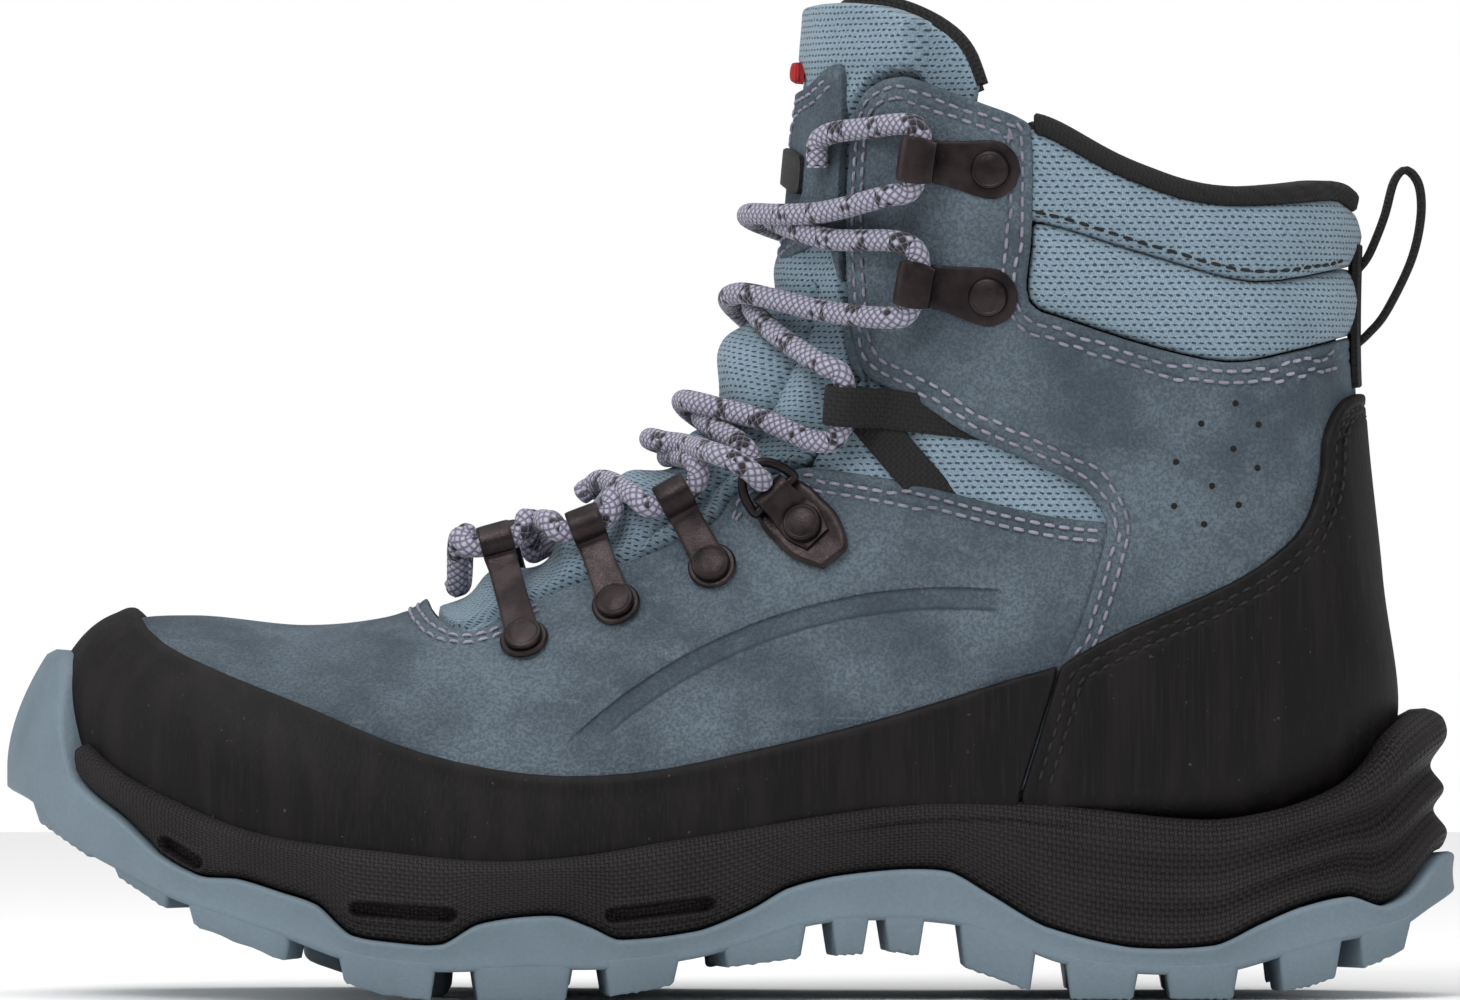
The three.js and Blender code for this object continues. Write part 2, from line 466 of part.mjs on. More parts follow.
const strip = sidePrism([[90, 118], [150, 123.2], [150, 149], [90, 149]], -8, 8);
add("back_strip", layer(GAP + 1.1, GAP).intersect(strip), finish.rand);

// ---------------------------------------------------------------- tongue
const wing = smooth(TONGUE_WING, 9);
const wingOutline = [...wing, [-62, 96], [-40, 130], [-20, 190], ...smooth(TONGUE_TOP, 8).slice(0, -1)];
const innerTongue = layer(LINED - GAP, LINED - GAP - 3.4).intersect(sidePrism(wingOutline));
const faceOutline = [
  ...parallel(opening, 1).slice(2), [37, 185.4], ...reversed(smooth(TONGUE_TOP, 8).filter((p) => p[1] > 190)),
  [-20, 190], [-40, 130], [-60, 96],
];
const faceTongue = layer(-0.3, LINED - GAP - 3.4).intersect(sidePrism(faceOutline));
const tongue = innerTongue.add(faceTongue);
const splitTop = 3; // the bound edge along the rear of the tongue's top
const faceZone = sidePrism(faceOutline.map(([x, z]) => [x, z]));
add("tongue", tongue, finish.knit);
const patchOutline = [...smooth(PATCH_TOP, 8).filter((p) => p[0] < 22.2), [21.6, 176], ...parallel(eyestay, 2.2).filter((p) => p[1] < 172).reverse(), ...smooth(PATCH_LOW, 6).filter((p) => p[0] < 20)];
add("tongue_patch", layer(1.2, 0.05).intersect(sidePrism(patchOutline)), finish.leather);
add("tongue_badge", layer(2.7, 1.55).intersect(sidePrism([[-10, 162.4], [40, 162.4], [40, 170.4], [-10, 170.4]], -13, 13)), finish.rubber);
add("tongue_tag", layer(2.6, 0.05).intersect(sidePrism([[-10, 183.4], [30, 183.4], [30, 187.6], [-10, 187.6]], -6, 6)), finish.red);

// ---------------------------------------------------------------- hardware and lace
// A frame on the leather at a rivet: d points towards the throat, n away from the leather, b along the throat upwards.
function station({ rivet, aim }, side) {
  const { point, normal: n } = onSide(rivet[0], rivet[1], side);
  const target = onSide(aim[0], aim[1], side).point;
  const d = target.sub(point);
  const reach = d.length();
  d.addScaledVector(n, -d.dot(n)).normalize();
  const b = new THREE.Vector3().crossVectors(n, d).multiplyScalar(side);
  const at = (along, up, across) => point.clone().addScaledVector(d, along).addScaledVector(n, up).addScaledVector(b, across);
  // Places a geometry drawn with x towards the throat and z away from the leather.
  const place = (geometry) => {
    const basis = new THREE.Matrix4().makeBasis(d, b.clone().multiplyScalar(side), n).setPosition(point);
    return solid(geometry.applyMatrix4(basis));
  };
  return { at, place, reach, side };
}
const rivetGeometry = (foot, seat) =>
  new THREE.LatheGeometry(
    [[0, foot], [1.2, foot], [1.2, seat], [RIVET_R, seat], [RIVET_R - 0.5, seat + 1.3], [0, seat + 2]].map(([x, y]) => new THREE.Vector2(x, y)), 8,
  ).rotateX(Math.PI / 2);
const holeGeometry = () => new THREE.CylinderGeometry(1.7, 1.7, 12, 6).rotateX(Math.PI / 2);
// A flat plate from x = 0 to x = reach with round ends of radius r0 and r1.
function plateGeometry(r0, r1, reach, thick) {
  const shape = new THREE.Shape();
  const lean = Math.asin((r0 - r1) / reach);
  shape.absarc(0, 0, r0, Math.PI / 2 - lean, 1.5 * Math.PI + lean, false);
  shape.absarc(reach, 0, r1, -Math.PI / 2 + lean, Math.PI / 2 - lean, false);
  return new THREE.ExtrudeGeometry(shape, { depth: thick, bevelEnabled: false, curveSegments: 3 });
}
const PLATE = 1;
const LOOP_OUT = 3.9;
const LOOP_IN = 3;
const LOOP_LIFT = GAP + LOOP_OUT + 0.05;
const HOOK_LIFT = GAP + PLATE + GAP + LACE_R;
const leatherHoles = [];
const eyelets = { lateral: [], medial: [] };

for (const [name, side] of Object.entries(SIDES)) {
  LOOPS.forEach((loop, i) => {
    const f = station(loop, side);
    const plate = f.place(plateGeometry(4.6, 3, f.reach, PLATE).translate(0, 0, GAP));
    const tube = f.place(new THREE.CylinderGeometry(LOOP_OUT, LOOP_OUT, 6.4, 8).translate(f.reach, 0, LOOP_LIFT));
    const bore = f.place(new THREE.CylinderGeometry(LOOP_IN, LOOP_IN, 12, 8).translate(f.reach, 0, LOOP_LIFT));
    const hole = f.place(holeGeometry());
    add(`lace_loop_${name}_${i + 1}`, plate.add(tube).subtract(bore).subtract(hole), finish.metal);
    add(`rivet_${name}_${i + 1}`, f.place(rivetGeometry(-2.1, GAP + PLATE + GAP)), finish.metal);
    leatherHoles.push(hole);
    eyelets[name].push({ f, at: f.reach, lift: LOOP_LIFT, half: 3.2 });
  });
  const r = station(RING, side);
  const plateShape = new THREE.Shape([[-9.5, -3.6], [-3.5, -6.2], [6, -6.2], [KNUCKLE + 1.4, -4.4], [KNUCKLE + 1.4, 4.4], [6, 6.2], [-3.5, 6.2], [-9.5, 3.6]].map(([x, y]) => new THREE.Vector2(x, y)));
  const ringPlate = r.place(new THREE.ExtrudeGeometry(plateShape, { depth: PLATE, bevelEnabled: false }).translate(0, 0, GAP + 0.25));
  const knuckleLift = GAP + PLATE + 1.6;
  const knuckle = r.place(new THREE.CylinderGeometry(2.6, 2.6, 7.6, 8).translate(KNUCKLE, 0, knuckleLift));
  const knuckleBore = r.place(new THREE.CylinderGeometry(1.75, 1.75, 20, 8).translate(KNUCKLE, 0, knuckleLift));
  const ringHole = r.place(holeGeometry());
  add(`ring_plate_${name}`, ringPlate.add(knuckle).subtract(knuckleBore).subtract(ringHole), finish.metal);
  add(`rivet_${name}_4`, r.place(rivetGeometry(-2.1, GAP + PLATE + GAP + 0.25)), finish.metal);
  leatherHoles.push(ringHole);
  // The ring: a straight bar in the knuckle and an arc that leans up from it.
  const lean = (g) => g.rotateY(-RING_LEAN).translate(KNUCKLE, 0, knuckleLift);
  const arc = r.place(lean(new THREE.TorusGeometry(RING_R, RING_WIRE, 6, 18).scale(RING_LONG / RING_R, 1, 1)));
  const front = r.place(lean(new THREE.BoxGeometry(20, 20, 6).translate(10, 0, 0)));
  const rod = r.place(lean(new THREE.CylinderGeometry(RING_WIRE, RING_WIRE, 2 * RING_R + 1.2, 6)));
  add(`d_ring_${name}`, arc.intersect(front).add(rod), finish.metal);
  const ringLift = knuckleLift + RING_LONG * Math.sin(RING_LEAN);
  eyelets[name].push({ f: r, at: KNUCKLE + RING_LONG * Math.cos(RING_LEAN), lift: ringLift, ring: true });
  const w = station({ rivet: [45, 116.4], aim: [24.4, 118.6] }, side);
  const band = w.place(new THREE.BoxGeometry(w.reach + 1, 8, PLATE).translate((w.reach - 1) / 2, 0, GAP + PLATE / 2));
  const sleeve = w.place(new THREE.CylinderGeometry(LOOP_OUT, LOOP_OUT, 8, 10).translate(w.reach, 0, LOOP_LIFT));
  const bore = w.place(new THREE.CylinderGeometry(LOOP_IN, LOOP_IN, 12, 10).translate(w.reach, 0, LOOP_LIFT));
  add(`webbing_loop_${name}`, band.add(sleeve).subtract(bore), finish.webbing);
  eyelets[name].push({ f: w, at: w.reach, lift: LOOP_LIFT, half: 4 });
  HOOKS.forEach((hook, i) => {
    const f = station(hook, side);
    const plate = f.place(plateGeometry(5.8, 4, f.reach - 3, PLATE).translate(0, 0, GAP));
    const top = HOOK_LIFT + LACE_R + GAP;
    const c = new THREE.Shape([[f.reach - 6, GAP], [f.reach + 1.4, GAP], [f.reach + 2.4, GAP + 1.2], [f.reach + 2.4, top], [f.reach + 1.2, top + 1.2], [f.reach - 5.4, top + 0.7],
      [f.reach - 5.2, top - 0.3], [f.reach + 0.6, top], [f.reach + 1.2, top - 0.8], [f.reach + 1.2, GAP + PLATE + 0.3], [f.reach + 0.8, GAP + PLATE], [f.reach - 6, GAP + PLATE]]
      .map(([x, y]) => new THREE.Vector2(x, y)));
    const claw = f.place(new THREE.ExtrudeGeometry(c, { depth: 7.6, bevelEnabled: false }).translate(0, 0, -3.8).rotateX(Math.PI / 2));
    const hole = f.place(holeGeometry());
    add(`hook_${name}_${i + 1}`, plate.add(claw).subtract(hole), finish.metal);
    add(`rivet_${name}_${i + 5}`, f.place(rivetGeometry(-2.1, GAP + PLATE + GAP)), finish.metal);
    leatherHoles.push(hole);
    eyelets[name].push({ f, at: f.reach - 1.6, lift: HOOK_LIFT, half: 4, open: true });
  });
}
for (const mesh of boot.children.filter((m) => m.name === "vamp" || m.name.startsWith("quarter"))) {
  const pierced = leatherHoles.reduce((sum, hole) => sum.subtract(hole), solid(mesh.geometry));
  mesh.geometry = geometryOf(pierced.simplify(FINE));
}

// The lace: one cord from one tucked end over every eyelet to the other.
// Over the tongue it follows the form at (u, c), where c runs from -1 (sole, outer side) over the ridge at 0 to 1.
const rideHeight = (u) => THREE.MathUtils.lerp(LACE_R + 0.4, LACE_R + 1.7, THREE.MathUtils.smoothstep(u, 0.72, 0.79));
function overTongue(u, c, lift) {
  const s = Math.max(c * c, 0.0008);
  const side = c < 0 ? -1 : 1;
  const n = formNormal(u, s, side);
  const p = formPoint(u, s, side);
  if (Math.abs(c) < 0.03) [p.y, n.y] = [middle(u), 0];
  return p.addScaledVector(n.normalize(), lift);
}
function placeOf(point, side) {
  const [u, s] = locate(point.x, point.z);
  return [u, side * Math.sqrt(s)];
}
// The turn of the lace in an eyelet, from below to above it, or the other way round.
function turn(eyelet) {
  const { f, at, lift, half: h } = eyelet;
  if (eyelet.ring) {
    // The lace comes in over the ring's arc, bends down through the ring and leaves under the arc.
    const clear = LACE_R + RING_WIRE + 0.65;
    const [high, low] = [lift + clear, lift - clear];
    return [
      f.at(at + 5.4, high - 0.6, -2.6), f.at(at + 1.6, high + 0.2, -1.2), f.at(at - 1.6, high - 0.6, -0.4), f.at(at - clear - 0.1, lift, 0),
      f.at(at - 1.6, low + 0.6, 0.4), f.at(at + 1.6, low - 0.2, 1.2), f.at(at + 5.4, low - 0.4, 2.6),
    ];
  }
  return [
    f.at(at + 4.6, lift - 0.4, -h - LACE_R - 1.5), f.at(at + 1.2, lift, -h - LACE_R - 0.4), f.at(at, lift, -h), f.at(at, lift, 0),
    f.at(at, lift, h), f.at(at + 1.2, lift, h + LACE_R + 0.4), f.at(at + 4.6, lift - 0.4, h + LACE_R + 1.5),
  ];
}
// The stretch between two points on opposite sides. The one that passes over the other rises at the ridge.
function crossing(a, sideA, b, sideB, ridge, over) {
  const [ua, ca] = placeOf(a, sideA);
  const [ub, cb] = placeOf(b, sideB);
  const n = 7;
  return Array.from({ length: n - 1 }, (_, k) => {
    const q = (k + 1) / n;
    const c = ca + (cb - ca) * q;
    const u = ua + (ub - ua) * q + (ridge - (ua + ub) / 2) * (1 - (2 * q - 1) ** 2);
    const rise = over ? (2 * LACE_R + 0.6) * Math.exp(-((c / 0.2) ** 2)) : 0;
    return overTongue(u, c, rideHeight(u) + rise + 1.2 * (2 * Math.abs(q - 0.5)) ** 4);
  });
}
// From the bottom bar upwards, starting on one side and changing sides at every eyelet.
function climb(start) {
  let side = start;
  const points = [];
  for (let i = 0; i < eyelets.lateral.length; i++) {
    const bend = turn(eyelets[side < 0 ? "lateral" : "medial"][i]);
    if (points.length) points.push(...crossing(points.at(-1), -side, bend[0], side, RIDGE_STOPS[i], i % 2 === (start > 0 ? 1 : 0)));
    points.push(...bend);
    side = -side;
  }
  side = -side;
  const top = points.pop();
  const last = onSide(21, 171.5, side, LACE_R + 1.8).point;
  const tail = onSide(20.4, 166, side, LACE_R + 1.6).point;
  points.push(onSide(29, 173.6, side, LACE_R + 1.4).point, last, tail);
  return points;
}
const leftClimb = climb(-1);
const rightClimb = climb(1);
const bar = crossing(leftClimb[0], -1, rightClimb[0], 1, RIDGE_STOPS[0], false);
// A curve that is sampled at its own points, so that the bends in the eyelets keep their shape.
class LacePath extends THREE.CatmullRomCurve3 {
  getPointAt(t, target) {
    return this.getPoint(t, target);
  }
  getTangentAt(t, target) {
    return this.getTangent(t, target);
  }
}
const laceStops = [...reversed(leftClimb), ...bar, ...rightClimb];
const lacePath = new LacePath(laceStops, false, "centripetal");
const laceSection = new THREE.Shape(Array.from({ length: 6 }, (_, i) => new THREE.Vector2(Math.cos((Math.PI * i) / 3), Math.sin((Math.PI * i) / 3)).multiplyScalar(LACE_R)));
add("lace", solid(new THREE.ExtrudeGeometry(laceSection, { steps: laceStops.length - 1, extrudePath: lacePath, bevelEnabled: false })), finish.lace);

// ---------------------------------------------------------------- heel pull loop
const LOOP_LINE = [[128.4, 133], [132, 137.4], [137, 147.6], [139, 156.4], [138.6, 163], [136, 166], [133.6, 163.6], [131.6, 156.4], [128.6, 149]];
const loopOuter = smooth(LOOP_LINE, 22);
const loopOutline = [...parallel(loopOuter, 1), ...reversed(parallel(loopOuter, -1))];
add("heel_pull_loop", sidePrism(loopOutline, -6.5, 6.5), finish.webbing);
export { boot as default };
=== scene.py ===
"""A laced hiking boot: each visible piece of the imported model, finished in detail around its fixed frame.

Shapes are worked out in millimetres in the model's own frame, and put into their meshes in metres.
+X runs from toe to heel, -Y is the outer side of the foot, +Z is up, and the sole stands on z = 0.
"""
import json
import math

import bpy
import numpy as np
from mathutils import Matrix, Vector


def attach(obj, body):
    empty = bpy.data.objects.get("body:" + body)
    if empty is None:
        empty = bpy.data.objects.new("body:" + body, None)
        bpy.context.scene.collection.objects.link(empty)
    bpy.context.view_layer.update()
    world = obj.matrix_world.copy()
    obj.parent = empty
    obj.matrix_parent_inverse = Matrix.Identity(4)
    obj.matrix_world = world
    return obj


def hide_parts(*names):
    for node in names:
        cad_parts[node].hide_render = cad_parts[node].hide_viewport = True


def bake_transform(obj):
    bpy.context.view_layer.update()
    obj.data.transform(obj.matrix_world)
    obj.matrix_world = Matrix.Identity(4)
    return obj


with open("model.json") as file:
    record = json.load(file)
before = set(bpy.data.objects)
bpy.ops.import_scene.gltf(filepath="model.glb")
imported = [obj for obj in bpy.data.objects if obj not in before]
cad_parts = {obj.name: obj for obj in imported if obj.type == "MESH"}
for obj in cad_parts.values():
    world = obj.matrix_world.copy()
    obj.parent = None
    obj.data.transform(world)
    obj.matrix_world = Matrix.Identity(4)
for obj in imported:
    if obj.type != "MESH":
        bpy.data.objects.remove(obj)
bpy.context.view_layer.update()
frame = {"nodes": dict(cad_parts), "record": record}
MM = 0.001
SIDES = {"lateral": -1, "medial": 1}

# ------------------------------------------------------------------ camera
LENS = 400.0
FRAME_WIDTH = 0.292
SENSOR = 36.0
NEAR_SIDE = -0.020
camera_data = bpy.data.cameras.new("camera")
camera_data.lens = LENS
camera_data.sensor_width = SENSOR
camera_data.clip_end = 50.0
camera = bpy.data.objects.new("camera", camera_data)
camera.location = (0.0, NEAR_SIDE - FRAME_WIDTH * LENS / SENSOR, 0.0996)
camera.rotation_euler = (math.radians(90), 0.0, 0.0)
bpy.context.scene.collection.objects.link(camera)
bpy.context.scene.camera = camera

# ------------------------------------------------------------------ the boot's form
# Side profile of the leather: place from -1 (collar, back) by the sole to 0 (toe tip), then over the vamp
# to 1.
PROFILE = [
    (-1.0, 126.5, 174), (-0.96, 125.6, 125), (-0.92, 129.2, 85), (-0.87, 131.5, 52), (-0.82, 114, 33),
    (-0.76, 72, 32.5), (-0.7, 30, 32.8), (-0.62, -8, 25.4), (-0.54, -38, 21), (-0.46, -62, 21),
    (-0.36, -85, 23.5), (-0.24, -106, 30), (-0.14, -122, 37), (-0.06, -131.5, 46), (0, -134.4, 57),
    (0.06, -131.8, 67), (0.14, -123.5, 74.8), (0.24, -108, 76.3), (0.36, -85, 74.3), (0.46, -65, 77),
    (0.54, -46.2, 82.8), (0.62, -27, 93.6), (0.7, -9.6, 107.8), (0.76, 2.6, 124.2), (0.82, 8.5, 139),
    (0.87, 11.5, 151), (0.92, 13, 166), (0.96, 14.5, 183), (1.0, 16, 202),
]
WIDTH = [
    (-0.06, -18), (0, 0), (0.06, 18), (0.14, 33), (0.24, 43.5), (0.36, 48.5), (0.46, 49), (0.54, 47),
    (0.62, 42.5), (0.7, 37.5), (0.76, 35), (0.82, 34.6), (0.87, 35.2), (0.92, 36.6), (0.96, 38.3), (1, 39.5),
]
MIDDLE = [
    (0, 8), (0.14, 6), (0.24, 4.5), (0.36, 2.5), (0.46, 1), (0.54, 0), (0.62, -1), (0.76, -1), (0.87, 0),
    (1, 0),
]
FRONT_POWER = [
    (0, 2.1), (0.14, 2.6), (0.24, 3.2), (0.36, 2.7), (0.46, 1.9), (0.54, 1.5), (0.62, 1.4), (0.76, 1.6),
    (0.87, 1.9), (1, 2),
]
FRONT_REACH = [
    (0, 0.5), (0.14, 0.7), (0.24, 0.85), (0.62, 0.88), (0.7, 0.8), (0.76, 0.66), (0.82, 0.52), (0.87, 0.42),
    (0.92, 0.38), (1, 0.42),
]
BACK_REACH = [
    (0, 0.5), (0.14, 0.3), (0.24, 0.15), (0.62, 0.11), (0.7, 0.1), (0.76, 0.1), (0.82, 0.16), (0.87, 0.23),
    (0.92, 0.26), (1, 0.31),
]


def through(rows):
    """A smooth function through rows of (place, values): cubic spans with slopes taken across the
    neighbours."""
    table = np.array(rows, float)
    at, values = table[:, 0], table[:, 1:]
    before = np.maximum(np.arange(len(at)) - 1, 0)
    after = np.minimum(np.arange(len(at)) + 1, len(at) - 1)
    slope = (values[after] - values[before]) / (at[after] - at[before])[:, None]

    def value(place, column=0):
        place = np.asarray(place, float)
        i = np.clip(np.searchsorted(at, place, side="left") - 1, 0, len(at) - 2)
        span = at[i + 1] - at[i]
        q = np.clip((place - at[i]) / span, 0, 1)
        return (
            values[i, column] * (2 * q**3 - 3 * q**2 + 1)
            + slope[i, column] * span * (q**3 - 2 * q**2 + q)
            + values[i + 1, column] * (3 * q**2 - 2 * q**3)
            + slope[i + 1, column] * span * (q**3 - q**2)
        )

    return value


profile, width, middle = through(PROFILE), through(WIDTH), through(MIDDLE)
front_power, front_reach, back_reach = through(FRONT_POWER), through(FRONT_REACH), through(BACK_REACH)


def form_point(u, s, side):
    """A point of the form. u goes from toe to collar and s from the front line to the sole or back line.
    The half width is the section's width times two roots that round it off towards both lines."""
    u, s = np.broadcast_arrays(np.asarray(u, float), np.asarray(s, float))
    fx, fz, bx, bz = profile(u, 0), profile(u, 1), profile(-u, 0), profile(-u, 1)
    front = np.maximum(0, 1 - s / front_reach(u)) ** front_power(u)
    rest = np.clip((1 - s) / back_reach(u), 0, 1)
    back = (1 - rest) ** 2.2
    half = width(u) * np.sqrt(np.maximum(0, 1 - front)) * np.sqrt(np.maximum(0, 1 - back))
    return np.stack([fx + (bx - fx) * s, middle(u) + side * half, fz + (bz - fz) * s], -1)


def unit(v):
    """Vectors at length one."""
    return v / np.maximum(np.linalg.norm(v, axis=-1, keepdims=True), 1e-12)


def form_normal(u, s, side):
    """The outward direction of the form: the cross product of its slopes along u and s."""
    e = 0.004
    along = form_point(np.minimum(u + e, 1), s, side) - form_point(np.maximum(u - e, 0.001), s, side)
    across = form_point(u, np.minimum(s + e, 1), side) - form_point(u, np.maximum(s - e, 0), side)
    return unit(np.cross(along, across) * np.reshape(side, np.shape(side) + (1,)))


def ring_point(u, turn):
    """A point of the form by its turn round the section: 0 on the front line, pi on the sole or back line.
    s is (1 - cos turn) / 2, and the inner side has positive turns."""
    return form_point(u, (1 - np.cos(turn)) / 2, np.where(np.sin(turn) < 0, -1.0, 1.0))


def ring_normal(u, turn):
    """The outward direction at a turn: the cross product of the slopes along u and round the section."""
    e = 0.006
    u = np.clip(u, 0.012, 1 - e)
    along = ring_point(u + e, turn) - ring_point(u - e, turn)
    return unit(np.cross(along, ring_point(u, turn + e) - ring_point(u, turn - e)))


def locate(x, z):
    """u and s of side point (x, z): u is halved down to the section line through it, and s is its share
    along."""
    x, z = np.broadcast_arrays(np.asarray(x, float), np.asarray(z, float))
    low, high = np.full(x.shape, 0.01), np.ones(x.shape)
    for _ in range(40):
        u = (low + high) / 2
        fx, fz, bx, bz = profile(u, 0), profile(u, 1), profile(-u, 0), profile(-u, 1)
        above = (bx - fx) * (z - fz) - (bz - fz) * (x - fx) > 0
        low, high = np.where(above, u, low), np.where(above, high, u)
    fx, fz, bx, bz = profile(low, 0), profile(low, 1), profile(-low, 0), profile(-low, 1)
    s = ((x - fx) * (bx - fx) + (z - fz) * (bz - fz)) / ((bx - fx) ** 2 + (bz - fz) ** 2)
    return low, np.clip(s, 0.0005, 0.998)


def on_side(x, z, side, lift=0.0):
    """Points of one side of the boot seen at (x, z), lifted off the leather, and the outward directions
    there."""
    u, s = locate(x, z)
    normal = form_normal(u, s, side)
    return form_point(u, s, side) + normal * np.reshape(lift, np.shape(lift) + (1,)), normal


def spline(points, count):
    """count spans of a uniform Catmull-Rom line through the points, its ends doubled."""
    p = np.array(points, float)
    t = np.linspace(0, len(p) - 1, count + 1)
    i = np.minimum(t.astype(int), len(p) - 2)
    w = (t - i)[:, None]
    a, b, c, d = p[np.maximum(i - 1, 0)], p[i], p[i + 1], p[np.minimum(i + 2, len(p) - 1)]
    v0, v1 = (c - a) / 2, (d - b) / 2
    return (2 * b - 2 * c + v0 + v1) * w**3 + (-3 * b + 3 * c - 2 * v0 - v1) * w**2 + v0 * w + b


def cord_line(stops, spans):
    """A centripetal Catmull-Rom line: cubic spans whose slopes weigh each neighbour by the root of its
    distance."""
    stops = np.array(stops, float)
    p = np.vstack([2 * stops[0] - stops[1], stops, 2 * stops[-1] - stops[-2]])
    a, b, c, d = p[:-3, None], p[1:-2, None], p[2:-1, None], p[3:, None]
    da, db, dc = (np.sqrt(np.linalg.norm(n - m, axis=-1, keepdims=True)) for m, n in ((a, b), (b, c), (c, d)))
    v0 = ((b - a) / da - (c - a) / (da + db) + (c - b) / db) * db
    v1 = ((c - b) / db - (d - b) / (db + dc) + (d - c) / dc) * db
    w = np.linspace(0, 1, spans, endpoint=False)[None, :, None]
    line = (2 * b - 2 * c + v0 + v1) * w**3 + (-3 * b + 3 * c - 2 * v0 - v1) * w**2 + v0 * w + b
    return np.vstack([line.reshape(-1, 3), stops[-1:]])


def lengths_along(line):
    """The length of a line up to each of its points: the running sum of its steps."""
    return np.concatenate([[0], np.cumsum(np.linalg.norm(np.diff(line, axis=0), axis=1))])


def evenly(line, step=None, count=None):
    """The same line with its points at equal distances along it."""
    line = np.asarray(line, float)
    gone = lengths_along(line)
    count = count or max(2, int(round(gone[-1] / step)) + 1)
    at = np.linspace(0, gone[-1], count)
    return np.stack([np.interp(at, gone, line[:, k]) for k in range(line.shape[1])], 1)


def parallel(line, distance):
    """The same side line moved to the left of its own direction."""
    line = np.asarray(line, float)
    d = np.empty_like(line)
    d[1:-1] = line[2:] - line[:-2]
    d[0], d[-1] = line[1] - line[0], line[-1] - line[-2]
    d = unit(d)
    return line + np.stack([-d[:, 1], d[:, 0]], 1) * distance


# ------------------------------------------------------------------ meshes
def put(name, points, faces, material, slot, body="boot", stands_for=(), uv=None, angle=35.0):
    """A mesh object from millimetre points and faces of three or four corners. uv is one pair per face
    corner."""
    points = np.asarray(points, float) * MM
    groups = [np.asarray(f, np.int64) for f in faces]
    corners = np.concatenate([g.ravel() for g in groups])
    sizes = np.concatenate([np.full(len(g), g.shape[1]) for g in groups])
    mesh = bpy.data.meshes.new(name)
    mesh.vertices.add(len(points))
    mesh.vertices.foreach_set("co", points.astype(np.float32).ravel())
    mesh.loops.add(len(corners))
    mesh.loops.foreach_set("vertex_index", corners.astype(np.int32))
    mesh.polygons.add(len(sizes))
    mesh.polygons.foreach_set("loop_start", (np.cumsum(sizes) - sizes).astype(np.int32))
    if uv is not None:
        layer = mesh.uv_layers.new(name="surface")
        layer.data.foreach_set("uv", (np.asarray(uv, float) * MM).astype(np.float32).ravel())
    mesh.update(calc_edges=True)
    mesh.validate()
    mesh.shade_smooth()
    mesh.set_sharp_from_angle(angle=math.radians(angle))
    mesh.materials.append(material)
    obj = bpy.data.objects.new(name, mesh)
    bpy.context.scene.collection.objects.link(obj)
    if body:
        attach(obj, body)
    if stands_for:
        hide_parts(*stands_for)
    return obj


def edge_distance(points, outline):
    """Signed distance of side points to a closed outline, above nought inside it, and the way to its
    nearest point."""
    a = np.asarray(outline, float)
    b = np.roll(a, -1, 0)
    keep = np.linalg.norm(b - a, axis=1) > 1e-9
    a, b = a[keep], b[keep]
    ab = b - a
    best = np.full(len(points), 1e9)
    way = np.zeros((len(points), 2))
    inside = np.zeros(len(points), bool)
    for p, q, d in zip(a, b, ab):
        t = np.clip(((points - p) @ d) / (d @ d), 0, 1)
        to = p + t[:, None] * d - points
        gap = np.hypot(to[:, 0], to[:, 1])
        near = gap < best
        best = np.where(near, gap, best)
        way[near] = to[near]
        crosses = (p[1] > points[:, 1]) != (q[1] > points[:, 1])
        lies = points[:, 0] < p[0] + (points[:, 1] - p[1]) * d[0] / (d[1] if abs(d[1]) > 1e-12 else 1e-12)
        inside ^= crosses & lies
    return np.where(inside, best, -best), unit(way)


def split(place, faces, column, level):
    """Triangles cut along the line where a column reaches a level: each crossed edge gets a point in
    proportion."""
    value = place[:, column] - level
    positive = value > 0
    count = positive[faces].sum(1)
    kept, cuts = [faces[(count == 0) | (count == 3)]], []
    for lone, n in ((True, 1), (False, 2)):
        rows = faces[count == n]
        first = (positive[rows] == lone).argmax(1)
        cuts.append(np.take_along_axis(rows, (first[:, None] + np.arange(3)) % 3, 1))
    a, b, c = np.vstack(cuts).T
    edges = np.sort(np.vstack([np.c_[a, b], np.c_[a, c]]), 1)
    if not len(edges):
        return place, faces
    single, back = np.unique(edges, axis=0, return_inverse=True)
    back = back.ravel()
    share = value[single[:, 0]] / (value[single[:, 0]] - value[single[:, 1]])
    share = np.clip(share, 0.03, 0.97)[:, None]
    added = place[single[:, 0]] * (1 - share) + place[single[:, 1]] * share
    added[:, column] = level
    p, q = len(place) + back[: len(a)], len(place) + back[len(a):]
    kept += [np.c_[a, p, q], np.c_[p, b, c], np.c_[p, c, q]]
    return np.vstack([place, added]), np.vstack(kept)


U, TURN, EDGE, ACROSS, ALONG = range(5)


